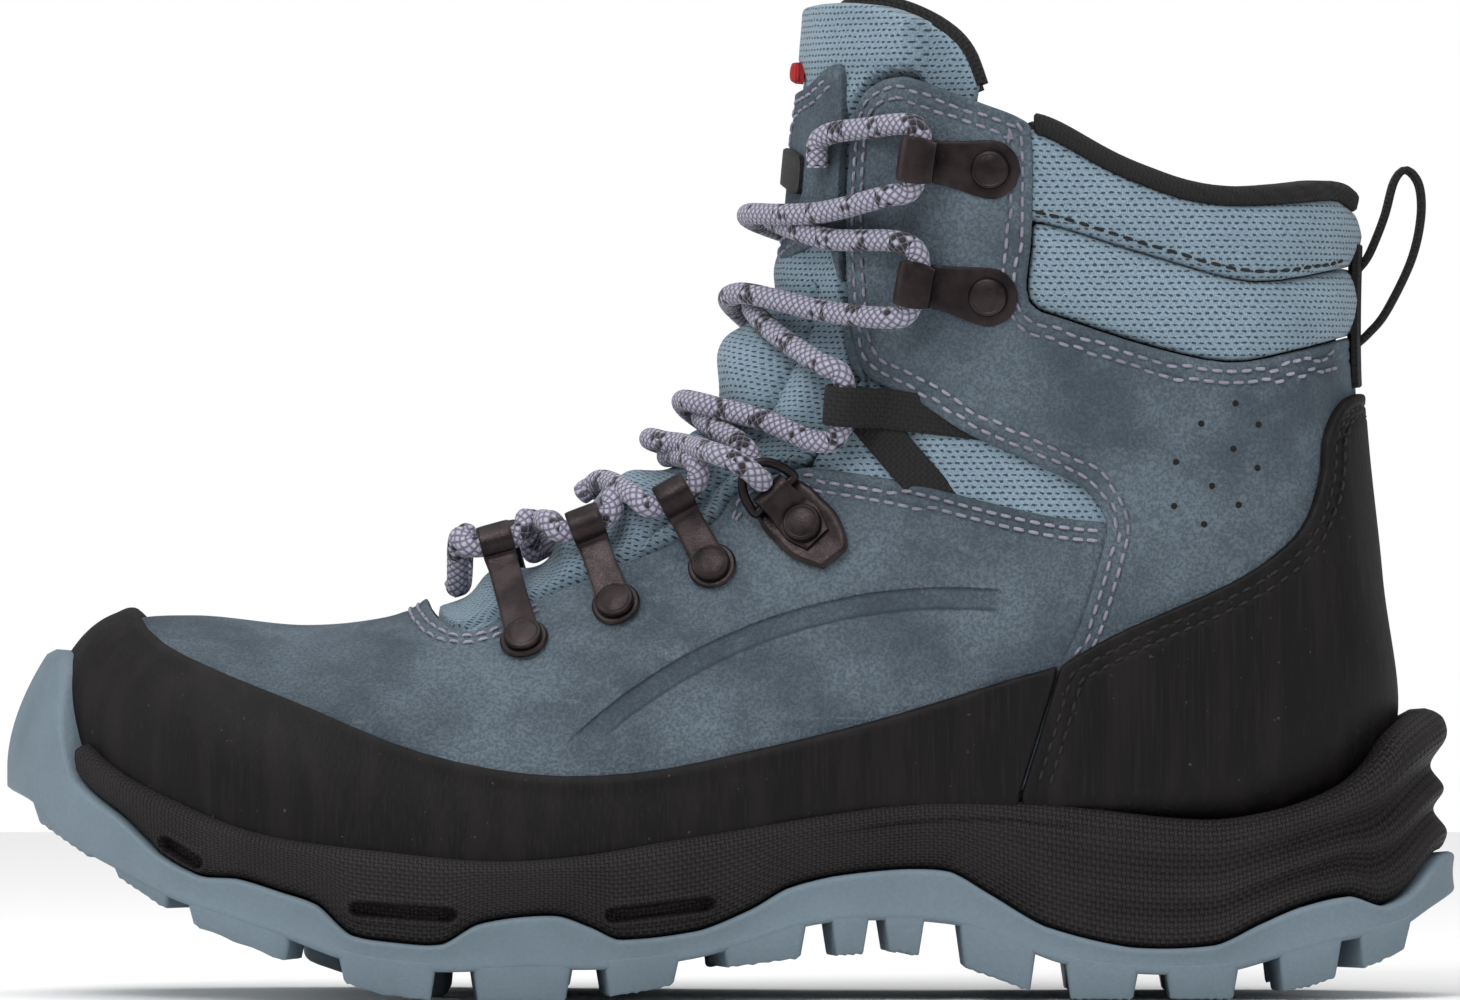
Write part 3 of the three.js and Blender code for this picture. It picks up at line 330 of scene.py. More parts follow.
def net(outline, rows=190, around=200, u_range=(0.0, 1.0), turns=(-math.pi, math.pi),
        levels=(0.15, 0.5, 1.0)):
    """A triangle net of the form inside a side outline. Each point has its u, its turn, its distance to the
    edge along the surface, and its lengths across and along the boot. It is cut at the edge and at each
    level from it."""
    u = np.linspace(*u_range, rows + 1)
    turn = np.linspace(*turns, around + 1)
    gu, gt = np.meshgrid(u, turn, indexing="ij")
    points = ring_point(gu, gt)
    normals = ring_normal(gu, gt)
    across = np.concatenate([np.zeros((rows + 1, 1)),
                             np.cumsum(np.linalg.norm(np.diff(points, axis=1), axis=2), 1)], 1)
    start = np.argmin(abs(turn))
    across = across - across[:, start: start + 1]
    along = np.concatenate([np.zeros((1, around + 1)),
                            np.cumsum(np.linalg.norm(np.diff(points, axis=0), axis=2), 0)])
    flat, n = points.reshape(-1, 3), normals.reshape(-1, 3)
    gap, way = edge_distance(flat[:, [0, 2]], outline)
    lean = (way * n[:, [0, 2]]).sum(1)
    gap = gap / np.sqrt(np.maximum(1 - lean**2, 0.08))
    place = np.stack([gu.ravel(), gt.ravel(), gap, across.ravel(), along.ravel()], 1)
    i, j = np.meshgrid(np.arange(rows), np.arange(around), indexing="ij")
    a = (i * (around + 1) + j).ravel()
    b, c, d = a + around + 1, a + around + 2, a + 1
    faces = np.vstack([np.c_[a, b, c], np.c_[a, c, d]])
    near = (place[faces, EDGE] > -12).any(1)
    place, faces = split(place, faces[near], EDGE, 0.0)
    faces = faces[(place[faces, EDGE].mean(1) > 0) & (place[faces, EDGE].min(1) > -1e-6)]
    for level in levels:
        place, faces = split(place, faces, EDGE, level)
    used, faces = np.unique(faces, return_inverse=True)
    return place[used], faces.reshape(-1, 3)


def rounded(distance, radius):
    """How far an edge of this radius has dropped at a distance from it: a quarter circle."""
    return radius * (1 - np.sqrt(np.maximum(0, 1 - np.clip(1 - distance / radius, 0, 1) ** 2)))


def bell(value, centre, spread):
    """A smooth hump of height one."""
    return np.exp(-(((value - centre) / spread) ** 2))


def weld(points, places=3):
    """The first of each set of points that coincide to so many decimal places, and the set that each is
    in."""
    _, first, back = np.unique(np.round(points, places), axis=0, return_index=True, return_inverse=True)
    return first, back.ravel()


def two_skins(faces, count):
    """The faces of a closed shell from those of its outer skin: the same faces turned round for the inner
    skin, whose points come count later, and quads between the two along each edge that only one face
    has."""
    corners = faces.shape[1]
    sides = np.vstack([faces[:, [k, (k + 1) % corners]] for k in range(corners)])
    _, back, times = np.unique(np.sort(sides, 1), axis=0, return_inverse=True, return_counts=True)
    rim = sides[times[back.ravel()] == 1]
    return [faces, faces[:, ::-1] + count, np.c_[rim[:, 1], rim[:, 0], rim[:, 0] + count, rim[:, 1] + count]]


def per_point(height, spot, p):
    """A height as one number for each point. It may be given as a function of their places."""
    return np.array(np.broadcast_to(height(spot, p) if callable(height) else height, len(p)), float)


def panel(name, outline, top, foot, material, slot, roll=0.8, stands_for=(), smooth_foot=0.0, shape=None,
          surface=None, **cut):
    """A closed shell of the form between two offsets, within a side outline: an outer and an inner skin
    joined along their edges. The outer edge is rounded by roll. shape(place, points) adds to the outer
    offset."""
    place, raw = net(outline, **cut)
    points = ring_point(place[:, U], place[:, TURN])
    normals = ring_normal(place[:, U], place[:, TURN])
    first, back = weld(points)
    faces = back[raw]
    whole = (faces[:, 0] != faces[:, 1]) & (faces[:, 1] != faces[:, 2]) & (faces[:, 2] != faces[:, 0])
    faces, raw = faces[whole], raw[whole]
    spot, p, n = place[first], points[first], normals[first]
    outer = per_point(top, spot, p) - rounded(spot[:, EDGE], roll)
    if shape is not None:
        outer = outer + shape(spot, p)
    inner = per_point(foot, spot, p)
    if smooth_foot:
        inner = inner + rounded(spot[:, EDGE], smooth_foot)
    high, low = p + n * outer[:, None], p + n * inner[:, None]
    groups = two_skins(faces, len(p))
    lengths = place[:, [ACROSS, ALONG]] if surface is None else surface(points)
    rim_uv = lengths[first][groups[2] % len(p)]
    uv = np.concatenate([lengths[raw].reshape(-1, 2), lengths[raw[:, ::-1]].reshape(-1, 2),
                         rim_uv.reshape(-1, 2)])
    return put(name, np.vstack([high, low]), groups, material, slot, stands_for=stands_for, uv=uv)


# ------------------------------------------------------------------ materials
def grouped(name, inputs, outputs):
    """An empty shader node group with named float, colour and vector sockets. Gives the group and its two
    ends."""
    group = bpy.data.node_groups.new(name, "ShaderNodeTree")
    kinds = {"f": "NodeSocketFloat", "c": "NodeSocketColor", "v": "NodeSocketVector"}
    for label, kind, value in inputs:
        socket = group.interface.new_socket(label, in_out="INPUT", socket_type=kinds[kind])
        if kind != "v":
            socket.default_value = value
    for label, kind in outputs:
        group.interface.new_socket(label, in_out="OUTPUT", socket_type=kinds[kind])
    return group, group.nodes.new("NodeGroupInput"), group.nodes.new("NodeGroupOutput")


def feed(tree, socket, value):
    """Links a socket or sets a value on an input."""
    if isinstance(value, bpy.types.NodeSocket):
        tree.links.new(value, socket)
    elif value is not None:
        socket.default_value = value


def sums(tree, operation, a, b=None, c=None):
    """A Math node's result."""
    node = tree.nodes.new("ShaderNodeMath")
    node.operation = operation
    for socket, value in zip(node.inputs, (a, b, c)):
        feed(tree, socket, value)
    return node.outputs[0]


def spread(tree, value, low, high, to_low=0.0, to_high=1.0):
    """A value carried smoothly from one range to another and kept inside it."""
    node = tree.nodes.new("ShaderNodeMapRange")
    node.interpolation_type = "SMOOTHSTEP"
    for socket, v in zip(node.inputs, (value, low, high, to_low, to_high)):
        feed(tree, socket, v)
    return node.outputs[0]


def noise(tree, vector, scale, detail=4.0, rough=0.55, warp=0.0):
    """A Noise node's value."""
    node = tree.nodes.new("ShaderNodeTexNoise")
    for label, v in (("Vector", vector), ("Scale", scale), ("Detail", detail), ("Roughness", rough),
                     ("Distortion", warp)):
        feed(tree, node.inputs[label], v)
    return node.outputs[0]


def blended(tree, share, a, b):
    """A colour between a and b."""
    node = tree.nodes.new("ShaderNodeMix")
    node.data_type = "RGBA"
    feed(tree, node.inputs[0], share)
    feed(tree, node.inputs[6], a)
    feed(tree, node.inputs[7], b)
    return node.outputs[2]


def scaled(tree, vector, scale):
    """The vector multiplied part by part."""
    node = tree.nodes.new("ShaderNodeMapping")
    feed(tree, node.inputs["Vector"], vector)
    node.inputs["Scale"].default_value = scale
    return node.outputs[0]


def parts(tree, vector):
    """The three parts of a vector."""
    node = tree.nodes.new("ShaderNodeSeparateXYZ")
    feed(tree, node.inputs[0], vector)
    return node.outputs


def humps(tree, value):
    """A rounded hump over each whole step of a value: the size of the sine of pi times it."""
    return sums(tree, "ABSOLUTE", sums(tree, "SINE", sums(tree, "MULTIPLY", value, math.pi)))


def mottle_group():
    """Two sizes of soft noise over the piece: a broad light and dark cloud, and a fine speckle."""
    group, inlet, outlet = grouped("mottle",
                                   [("Vector", "v", None), ("Broad", "f", 30.0), ("Fine", "f", 900.0)],
                                   [("Cloud", "f"), ("Speckle", "f")])
    vector = inlet.outputs["Vector"]
    feed(group, outlet.inputs["Cloud"],
         spread(group, noise(group, vector, inlet.outputs["Broad"], 5, 0.6), 0.32, 0.68))
    feed(group, outlet.inputs["Speckle"],
         spread(group, noise(group, vector, inlet.outputs["Fine"], 3, 0.7), 0.3, 0.7))
    return group


def weave_group():
    """A basket weave: two crossed rows of rounded threads, each on top in every other cell of the check."""
    group, inlet, outlet = grouped("weave", [("Vector", "v", None), ("Threads", "f", 1400.0)],
                                   [("Height", "f"), ("Gaps", "f")])
    x, y, _ = parts(group, inlet.outputs["Vector"])
    threads = inlet.outputs["Threads"]
    px, py = sums(group, "MULTIPLY", x, threads), sums(group, "MULTIPLY", y, threads)
    along, over = humps(group, px), humps(group, py)
    check = sums(group, "MODULO", sums(group, "ADD", sums(group, "FLOOR", px), sums(group, "FLOOR", py)), 2.0)
    check = sums(group, "ABSOLUTE", check)
    feed(group, outlet.inputs["Height"],
         sums(group, "MULTIPLY_ADD", sums(group, "SUBTRACT", along, over), check, over))
    feed(group, outlet.inputs["Gaps"], spread(group, sums(group, "MULTIPLY", along, over), 0.0, 0.45))
    return group


def mesh_knit_group():
    """A spacer knit: rows of slanted stitches with a small dark eye between them, each row half a stitch on.
    The eye is a round hump in the cell, and the cells wander a little with noise."""
    group, inlet, outlet = grouped("mesh_knit",
                                   [("Vector", "v", None), ("Size", "f", 700.0), ("Wander", "f", 0.35)],
                                   [("Height", "f"), ("Eyes", "f"), ("Tone", "f")])
    vector = inlet.outputs["Vector"]
    x, y, _ = parts(group, vector)
    size = inlet.outputs["Size"]
    stray = sums(group, "SUBTRACT", noise(group, vector, 480.0, 2, 0.5), 0.5)
    stray = sums(group, "MULTIPLY", stray, inlet.outputs["Wander"])
    px = sums(group, "ADD", sums(group, "MULTIPLY", x, size), stray)
    py = sums(group, "ADD", sums(group, "MULTIPLY", y, sums(group, "MULTIPLY", size, 1.35)), stray)
    row = sums(group, "FLOOR", py)
    shift = sums(group, "MULTIPLY", sums(group, "ABSOLUTE", sums(group, "MODULO", row, 2.0)), 0.5)
    fx = sums(group, "SUBTRACT", sums(group, "FRACT", sums(group, "ADD", px, shift)), 0.5)
    fy = sums(group, "SUBTRACT", sums(group, "FRACT", py), 0.5)
    slant = sums(group, "MULTIPLY_ADD", fy, 0.35, fx)
    reach = sums(group, "SQRT", sums(group, "ADD", sums(group, "MULTIPLY", slant, slant),
                                     sums(group, "MULTIPLY", sums(group, "MULTIPLY", fy, fy), 2.4)))
    patchy = spread(group, noise(group, vector, 1500.0, 2, 0.5), 0.3, 0.7, 0.02, -0.14)
    eyes = spread(group, sums(group, "ADD", reach, patchy), 0.12, 0.30, 1.0, 0.0)
    feed(group, outlet.inputs["Eyes"], eyes)
    fibre = noise(group, scaled(group, vector, (1, 0.35, 1)), 5200.0, 2, 0.6)
    feed(group, outlet.inputs["Tone"], fibre)
    feed(group, outlet.inputs["Height"],
         sums(group, "MULTIPLY_ADD", fibre, 0.3, sums(group, "SUBTRACT", 1.0, eyes)))
    return group


# The middle and the radius of the long arc pressed into the side leather, in the side view.
ARC_CENTRE, ARC_R = (44.0, -28.0), 108.0
MOTTLE, WEAVE, MESH_KNIT = mottle_group(), weave_group(), mesh_knit_group()


class Finish:
    """One material: its tree, its shader and the coordinates that its patterns read."""

    def __init__(self, name, colour, rough, metallic=0.0, **sockets):
        self.material = bpy.data.materials.new(name)
        self.material.use_nodes = True
        self.tree = self.material.node_tree
        self.shader = self.tree.nodes["Principled BSDF"]
        self.shader.inputs["Base Color"].default_value = colour
        self.shader.inputs["Roughness"].default_value = rough
        self.shader.inputs["Metallic"].default_value = metallic
        for label, value in sockets.items():
            self.shader.inputs[label.replace("_", " ")].default_value = value
        coordinates = self.tree.nodes.new("ShaderNodeTexCoord")
        self.object, self.uv = coordinates.outputs["Object"], coordinates.outputs["UV"]

    def group(self, group, **values):
        node = self.tree.nodes.new("ShaderNodeGroup")
        node.node_tree = group
        for label, value in values.items():
            feed(self.tree, node.inputs[label], value)
        return node.outputs

    def colour(self, value):
        feed(self.tree, self.shader.inputs["Base Color"], value)

    def rough(self, value):
        feed(self.tree, self.shader.inputs["Roughness"], value)

    def bump(self, height, distance, strength=1.0, onto=None):
        """Bumps the normal by a height, in metres, on top of an earlier bump."""
        node = self.tree.nodes.new("ShaderNodeBump")
        node.inputs["Strength"].default_value = strength
        node.inputs["Distance"].default_value = distance
        feed(self.tree, node.inputs["Height"], height)
        feed(self.tree, node.inputs["Normal"], onto)
        feed(self.tree, self.shader.inputs["Normal"], node.outputs[0])
        return node.outputs[0]


def shade(hexed):
    """A linear colour from a web colour, by the standard curve of a screen."""
    c = [int(hexed[i: i + 2], 16) / 255 for i in (0, 2, 4)]
    return (*[v / 12.92 if v < 0.04045 else ((v + 0.055) / 1.055) ** 2.4 for v in c], 1.0)


def nubuck_finish():
    """Brushed leather: cloudy blue grey with pale rubbed patches, and a fine nap. Painted shade darkens the
    groove of the pressed arc, most at its walls.
    """
    f = Finish("nubuck", shade("4d5b66"), 0.85, Sheen_Weight=0.12, Sheen_Roughness=0.45)
    f.shader.inputs["Sheen Tint"].default_value = shade("8a98a4")
    f.shader.inputs["Specular IOR Level"].default_value = 0.25
    m = f.group(MOTTLE, Vector=f.object, Broad=38.0, Fine=1500.0)
    tone = blended(f.tree, m["Cloud"], shade("434e58"), shade("66737d"))
    patches = noise(f.tree, scaled(f.tree, f.object, (1, 1, 2.4)), 26.0, 6, 0.7, 1.4)
    rubbed = spread(f.tree, patches, 0.56, 0.74, 0, 0.5)
    tone = blended(f.tree, rubbed, tone, shade("828e98"))
    tone = blended(f.tree, spread(f.tree, m["Speckle"], 0.1, 0.9, 0.0, 0.5), tone, shade("2c363e"))
    x, _, z = parts(f.tree, f.object)
    dx = sums(f.tree, "SUBTRACT", x, ARC_CENTRE[0] * MM)
    dz = sums(f.tree, "SUBTRACT", z, ARC_CENTRE[1] * MM)
    reach = sums(f.tree, "SQRT",
                 sums(f.tree, "ADD", sums(f.tree, "MULTIPLY", dx, dx), sums(f.tree, "MULTIPLY", dz, dz)))
    off = sums(f.tree, "ABSOLUTE", sums(f.tree, "SUBTRACT", reach, ARC_R * MM))
    band = spread(f.tree, off, 0.0019, 0.0024, 1.0, 0.0)
    band = sums(f.tree, "MULTIPLY", band, spread(f.tree, x, -0.034, -0.031))
    band = sums(f.tree, "MULTIPLY", band, spread(f.tree, x, 0.052, 0.055, 1.0, 0.0))
    band = sums(f.tree, "MULTIPLY", band, spread(f.tree, z, 0.05, 0.056))
    # Painted shade: the colour darkens in the groove of the pressed arc, most towards its walls.
    arc_groove_shade = sums(f.tree, "MULTIPLY", band, spread(f.tree, off, 0.0013, 0.0019, 0.5, 1.0))
    f.colour(blended(f.tree, sums(f.tree, "MULTIPLY", arc_groove_shade, 0.7), tone, shade("26303a")))
    f.rough(spread(f.tree, m["Cloud"], 0, 1, 0.78, 0.92))
    coarse = f.bump(noise(f.tree, f.object, 420.0, 4, 0.6), 0.0006, 0.35)
    coarse = f.bump(sums(f.tree, "SUBTRACT", 1.0, band), 0.0006, 1.0, coarse)
    f.bump(m["Speckle"], 0.0003, 0.8, coarse)
    return f.material


def rand_finish():
    """Dark coated rand: satin, with fine streaks running down the boot and a few pale specks."""
    f = Finish("rand_rubber", shade("161314"), 0.6)
    f.shader.inputs["Specular IOR Level"].default_value = 0.16
    streaks = noise(f.tree, scaled(f.tree, f.object, (1, 1, 0.035)), 1700.0, 3, 0.6)
    broad = noise(f.tree, scaled(f.tree, f.object, (1, 1, 0.12)), 160.0, 3, 0.5)
    tone = blended(f.tree, spread(f.tree, streaks, 0.45, 0.75), shade("0a0909"), shade("191516"))
    tone = blended(f.tree, spread(f.tree, broad, 0.42, 0.7, 0, 0.55), tone, shade("1c1718"))
    specks = spread(f.tree, noise(f.tree, f.object, 900.0, 1, 0.4), 0.76, 0.82)
    f.colour(blended(f.tree, specks, tone, shade("3f393a")))
    f.rough(spread(f.tree, streaks, 0.3, 0.7, 0.5, 0.64))
    f.bump(streaks, 0.00025, 0.5)
    return f.material


def midsole_finish():
    """Moulded foam skin with a woven-dot texture in slanted rows."""
    f = Finish("midsole_foam", shade("1a1718"), 0.72)
    f.shader.inputs["Specular IOR Level"].default_value = 0.25
    w = f.group(WEAVE, Vector=f.uv, Threads=1150.0)
    m = f.group(MOTTLE, Vector=f.object, Broad=60.0, Fine=1600.0)
    tone = blended(f.tree, w["Height"], shade("0a0809"), shade("1e1a1b"))
    f.colour(blended(f.tree, spread(f.tree, m["Cloud"], 0, 1, 0, 0.3), tone, shade("2a2526")))
    f.rough(spread(f.tree, w["Height"], 0, 1, 0.8, 0.58))
    f.bump(w["Height"], 0.00035, 0.9)
    return f.material


def sole_finish():
    """Blue grey outsole rubber: matt, a little cloudy, flecked darker with a fine speckle."""
    f = Finish("sole_rubber", shade("61717b"), 0.62)
    m = f.group(MOTTLE, Vector=f.object, Broad=22.0, Fine=1100.0)
    tone = blended(f.tree, m["Cloud"], shade("5b6b75"), shade("697984"))
    f.colour(blended(f.tree, spread(f.tree, m["Speckle"], 0, 1, 0, 0.14), tone, shade("49565f")))
    f.rough(spread(f.tree, m["Cloud"], 0, 1, 0.55, 0.7))
    f.bump(m["Speckle"], 0.00009, 0.6)
    return f.material


def knit_finish():
    """Padded mesh: pale blue loops over a dark backing that shows through small eyes."""
    light, deep = shade("8ba0ae"), shade("1b262e")
    f = Finish("mesh_knit", light, 0.92, Sheen_Weight=0.15, Sheen_Roughness=0.5)
    k = f.group(MESH_KNIT, Vector=f.uv, Size=620.0, Wander=0.5)
    m = f.group(MOTTLE, Vector=f.object, Broad=45.0, Fine=1500.0)
    tone = blended(f.tree, spread(f.tree, k["Tone"], 0.3, 0.7), shade("5f7483"), light)
    tone = blended(f.tree, spread(f.tree, m["Cloud"], 0, 1, 0, 0.25), tone, shade("5c6f7d"))
    f.colour(blended(f.tree, spread(f.tree, k["Eyes"], 0, 1, 0, 0.9), tone, deep))
    f.bump(k["Height"], 0.00045, 0.8)
    return f.material


def cloth_finish(name, light, dark, threads, uv=True):
    """A plain woven textile or webbing: rounded threads, darker in the gaps."""
    f = Finish(name, shade(light), 0.9)
    w = f.group(WEAVE, Vector=f.uv if uv else f.object, Threads=threads)
    m = f.group(MOTTLE, Vector=f.object, Broad=80.0, Fine=2000.0)
    tone = blended(f.tree, w["Height"], shade(dark), shade(light))
    f.colour(blended(f.tree, spread(f.tree, m["Cloud"], 0, 1, 0, 0.25), tone, shade(dark)))
    f.bump(w["Height"], 0.00028, 0.9)
    return f.material


def lace_finish():
    """A round braid: strands crossing both ways round the cord, with short dark flecks in loose zigzags.
    The surface map runs along the cord in x and round it, in shares of a turn, in y (both in thousandths)."""
    f = Finish("lace_braid", shade("a19eae"), 0.8, Sheen_Weight=0.2, Sheen_Roughness=0.4)
    x, y, _ = parts(f.tree, scaled(f.tree, f.uv, (1000, 1000, 1)))
    along, round_ = sums(f.tree, "MULTIPLY", x, 0.62), sums(f.tree, "MULTIPLY", y, 7.0)
    one = sums(f.tree, "ADD", along, round_)
    two = sums(f.tree, "SUBTRACT", along, round_)
    cells = sums(f.tree, "MULTIPLY", humps(f.tree, one), humps(f.tree, two))
    a, b = sums(f.tree, "FLOOR", one), sums(f.tree, "FLOOR", two)
    joined = f.tree.nodes.new("ShaderNodeCombineXYZ")
    feed(f.tree, joined.inputs[0], a)
    feed(f.tree, joined.inputs[1], b)
    lots = f.tree.nodes.new("ShaderNodeTexWhiteNoise")
    lots.noise_dimensions = "2D"
    feed(f.tree, lots.inputs["Vector"], joined.outputs[0])
    slow = noise(f.tree, scaled(f.tree, f.uv, (1000, 3000, 1)), 0.16, 2, 0.5)
    bands = spread(f.tree, sums(f.tree, "SINE", sums(f.tree, "MULTIPLY", x, 2 * math.pi / 9.5)), 0.1, 0.5)
    chance = sums(f.tree, "MULTIPLY", bands, spread(f.tree, slow, 0.35, 0.6, 0.1, 0.62))
    fleck = sums(f.tree, "LESS_THAN", lots.outputs[0], chance)
    fleck = sums(f.tree, "MULTIPLY", fleck, spread(f.tree, cells, 0.04, 0.2))
    tone = blended(f.tree, spread(f.tree, cells, 0.0, 0.55), shade("5a576c"), shade("a19fb0"))
    f.colour(blended(f.tree, fleck, tone, shade("1f191c")))
    f.bump(spread(f.tree, cells, 0.0, 0.8), 0.00045, 0.9)
    return f.material


def metal_finish():
    """Dark bronze lacquer over metal, rubbed brighter in places."""
    f = Finish("bronze_metal", shade("2a2223"), 0.33, 0.8)
    m = f.group(MOTTLE, Vector=f.object, Broad=160.0, Fine=2200.0)
    f.colour(blended(f.tree, m["Cloud"], shade("1d1718"), shade("332b2c")))
    f.rough(spread(f.tree, m["Speckle"], 0, 1, 0.3, 0.46))
    f.bump(m["Speckle"], 0.00004, 0.5)
    return f.material


def plain_finish(name, light, dark, rough, fine=1500.0, rise=0.0001):
    """A moulded or pressed finish: a cloudy colour with a fine grain."""
    f = Finish(name, shade(light), rough)
    m = f.group(MOTTLE, Vector=f.object, Broad=60.0, Fine=fine)
    f.colour(blended(f.tree, m["Cloud"], shade(dark), shade(light)))
    f.rough(spread(f.tree, m["Speckle"], 0, 1, rough - 0.06, min(1.0, rough + 0.06)))
    f.bump(m["Speckle"], rise)
    return f.material


NUBUCK, RAND_SKIN, FOAM, SOLE = nubuck_finish(), rand_finish(), midsole_finish(), sole_finish()
KNIT, LACE_SKIN, BRONZE = knit_finish(), lace_finish(), metal_finish()
WEBBING = cloth_finish("webbing", "171516", "080708", 1100.0)
LINING_CLOTH = cloth_finish("lining_textile", "1d1c1e", "0e0d0f", 1500.0, uv=False)
TAG_CLOTH = cloth_finish("tag_textile", "b3161a", "6d0c10", 1500.0, uv=False)
PALE_THREAD = plain_finish("pale_thread", "a9a7b8", "807e90", 0.75, 3000.0, 0.0002)
DARK_THREAD = plain_finish("dark_thread", "1a1718", "0c0a0b", 0.7, 3000.0, 0.0002)
# The perforations' finish: near black, for the dark lining seen through each hole and the painted shade
# inside it.
HOLE_AND_SHADE = plain_finish("perforation", "0b0b0d", "050506", 0.95)
BADGE_SKIN = plain_finish("badge_rubber", "1a1a1d", "101012", 0.5)
BOARD = plain_finish("fibre_board", "8d8168", "6d634f", 0.9, 1200.0)
PLASTIC = plain_finish("shank_plastic", "2a2a2c", "1c1c1e", 0.5)


# ------------------------------------------------------------------ side outlines, x and z
GAP = 0.35
NUBUCK_THICK = 1.8
FEATHER_LINE = [
    (-134, 52), (-126, 46.6), (-115, 41), (-95, 33.6), (-66, 29.6), (-46, 28), (-28, 29.2), (-8, 32.6),
    (21, 37.4), (40, 40), (58, 39.8), (94, 36), (109, 37.8), (123, 42), (131, 46.6), (138, 53),
]
RAND_TOP = [
    (-124, 84), (-115.4, 71.9), (-102.6, 65), (-84.8, 58), (-62.8, 49.4), (-40, 44.8), (-18, 45.2), (5, 49.8),
    (30, 56), (54, 63.4), (65.7, 66.6),
]
SEAM = [(65.7, 66.6), (61.6, 53.2), (57, 38), (55, 26)]
COUNTER_TOP = [
    (65.7, 66.6), (77.4, 73.2), (98.6, 82.6), (108, 88.5), (114, 94.8), (117.4, 104.2), (118.2, 112.5),
    (121.5, 118.8), (127, 121.2), (140, 122.5),
]
QUARTER_FRONT = [
    (57.5, 42), (66, 66.8), (69.7, 74.6), (73.8, 87.9), (75, 95), (71.2, 101.2), (65.1, 104.7), (47.8, 112.6),
    (38.6, 118.4), (28.4, 123.4),
]
EYESTAY = [(28.4, 123.4), (25.4, 127.6), (24.2, 136.6), (23.6, 156.4), (24.4, 172), (26.2, 179.6),
           (30.4, 183.2), (35, 184)]
TAB_TOP = [(36, 183.8), (49.2, 178.8), (56.3, 176.2), (59.8, 174.2)]
COLLAR_LOW = [
    (60.2, 172), (60, 152.6), (58.9, 141.5), (60.8, 137.6), (66, 135.7), (83.3, 130.1), (99, 126.9),
    (112.6, 129), (127, 132.6), (140, 136),
]
THROAT = [
    (-61, 84), (-60, 77), (-55, 73.6), (-48, 74.6), (-40, 79.3), (-22, 86.6), (-4.2, 94.8), (0, 100),
    (6, 104), (15, 106.4),
]
VAMP_TOP = [(15, 106.4), (33, 103.7), (53.4, 98.6), (66, 96), (74.6, 95.2)]
COLLAR_TOP = [
    (61, 176), (66, 174), (76, 168.4), (84, 165), (92, 162.4), (101, 161.4), (112.6, 162), (122, 162.8),
    (126.5, 161), (134, 157),
]
COLLAR_SEAM = [(58.6, 155), (66, 153.6), (84, 148), (105, 143), (127, 146.4), (140, 150)]
TONGUE_TOP = [(2, 190), (9, 197), (18, 199), (28, 198.4), (38, 194.6), (44.5, 189.4), (48, 182)]
TONGUE_WING = [(48, 182), (45, 168), (38, 148), (27, 124), (6, 99), (-20, 80), (-44, 70), (-62, 68)]
PATCH_TOP = [(-4, 179.5), (13.8, 181), (21.5, 186.6), (28.6, 184.4), (44, 177)]
PATCH_LOW = [(36, 160), (20, 152.4), (7.3, 144.8), (-4, 139)]
# The tongue's puffs: the u of each one's middle, its spread in u, and its height.
PUFFS = [(0.54, 0.020, 3.4), (0.604, 0.017, 4.6), (0.66, 0.022, 6.2), (0.712, 0.012, 2.6),
         (0.774, 0.030, 7.4), (0.853, 0.02, 2.0)]
# How far the upper runs down behind the sole's upper edge.
TUCK = -4.5

edge = spline(FEATHER_LINE, 24)
under = np.vstack([[(-150, 62 + TUCK)], edge + (0, TUCK), [(150, 64 + TUCK)]])
seam_up = spline(SEAM[::-1], 10)
seam_up = seam_up[seam_up[:, 1] > 40]
quarter_front, vamp_top, throat = spline(QUARTER_FRONT, 40), spline(VAMP_TOP, 12), spline(THROAT, 36)
eyestay, tab_top, collar_low = spline(EYESTAY, 24), spline(TAB_TOP, 8), spline(COLLAR_LOW, 30)
rand_top, counter_top, collar_top = spline(RAND_TOP, 32), spline(COUNTER_TOP, 40), spline(COLLAR_TOP, 30)
collar_seam = spline(COLLAR_SEAM, 20)
opening = np.vstack([throat, spline([(15, 106.4), (20.5, 111.6), (24, 117.6), (25.4, 127.6)], 10)[1:-1],
                     eyestay[4:]])


def cut(line, keep):
    """The points of a side line that a test of x and z keeps."""
    return line[keep(line[:, 0], line[:, 1])]


def half_turns(side):
    """The turns of one side of the boot, from the front line to the sole line."""
    return (-math.pi, -0.02) if side < 0 else (0.02, math.pi)


def stitch_groove(distances, depth=0.3):
    """The leather drawn in along stitch rows at these distances from the edge."""
    return lambda spot, p: -sum(depth * bell(spot[:, EDGE], d, 0.45) for d in distances)


def soft_leather(spot):
    """Slow swells in the leather: a few crossed waves along and across the boot."""
    a, b = spot[:, ALONG], spot[:, ACROSS]
    return 0.22 * (np.sin(a / 11 + b / 23) * np.sin(b / 9 - a / 31)
                   + 0.5 * np.sin(a / 5.3 + 1.7) * np.sin(b / 6.1))


# ------------------------------------------------------------------ vamp, quarters, rand and heel cover
vamp_outline = np.vstack([
    under[under[:, 0] < 60], [(70, 40), (76, 66), (80, 88), (80, 92.6)], vamp_top[::-1], throat[::-1][1:],
    [(-61, 96), (-150, 96)],
])


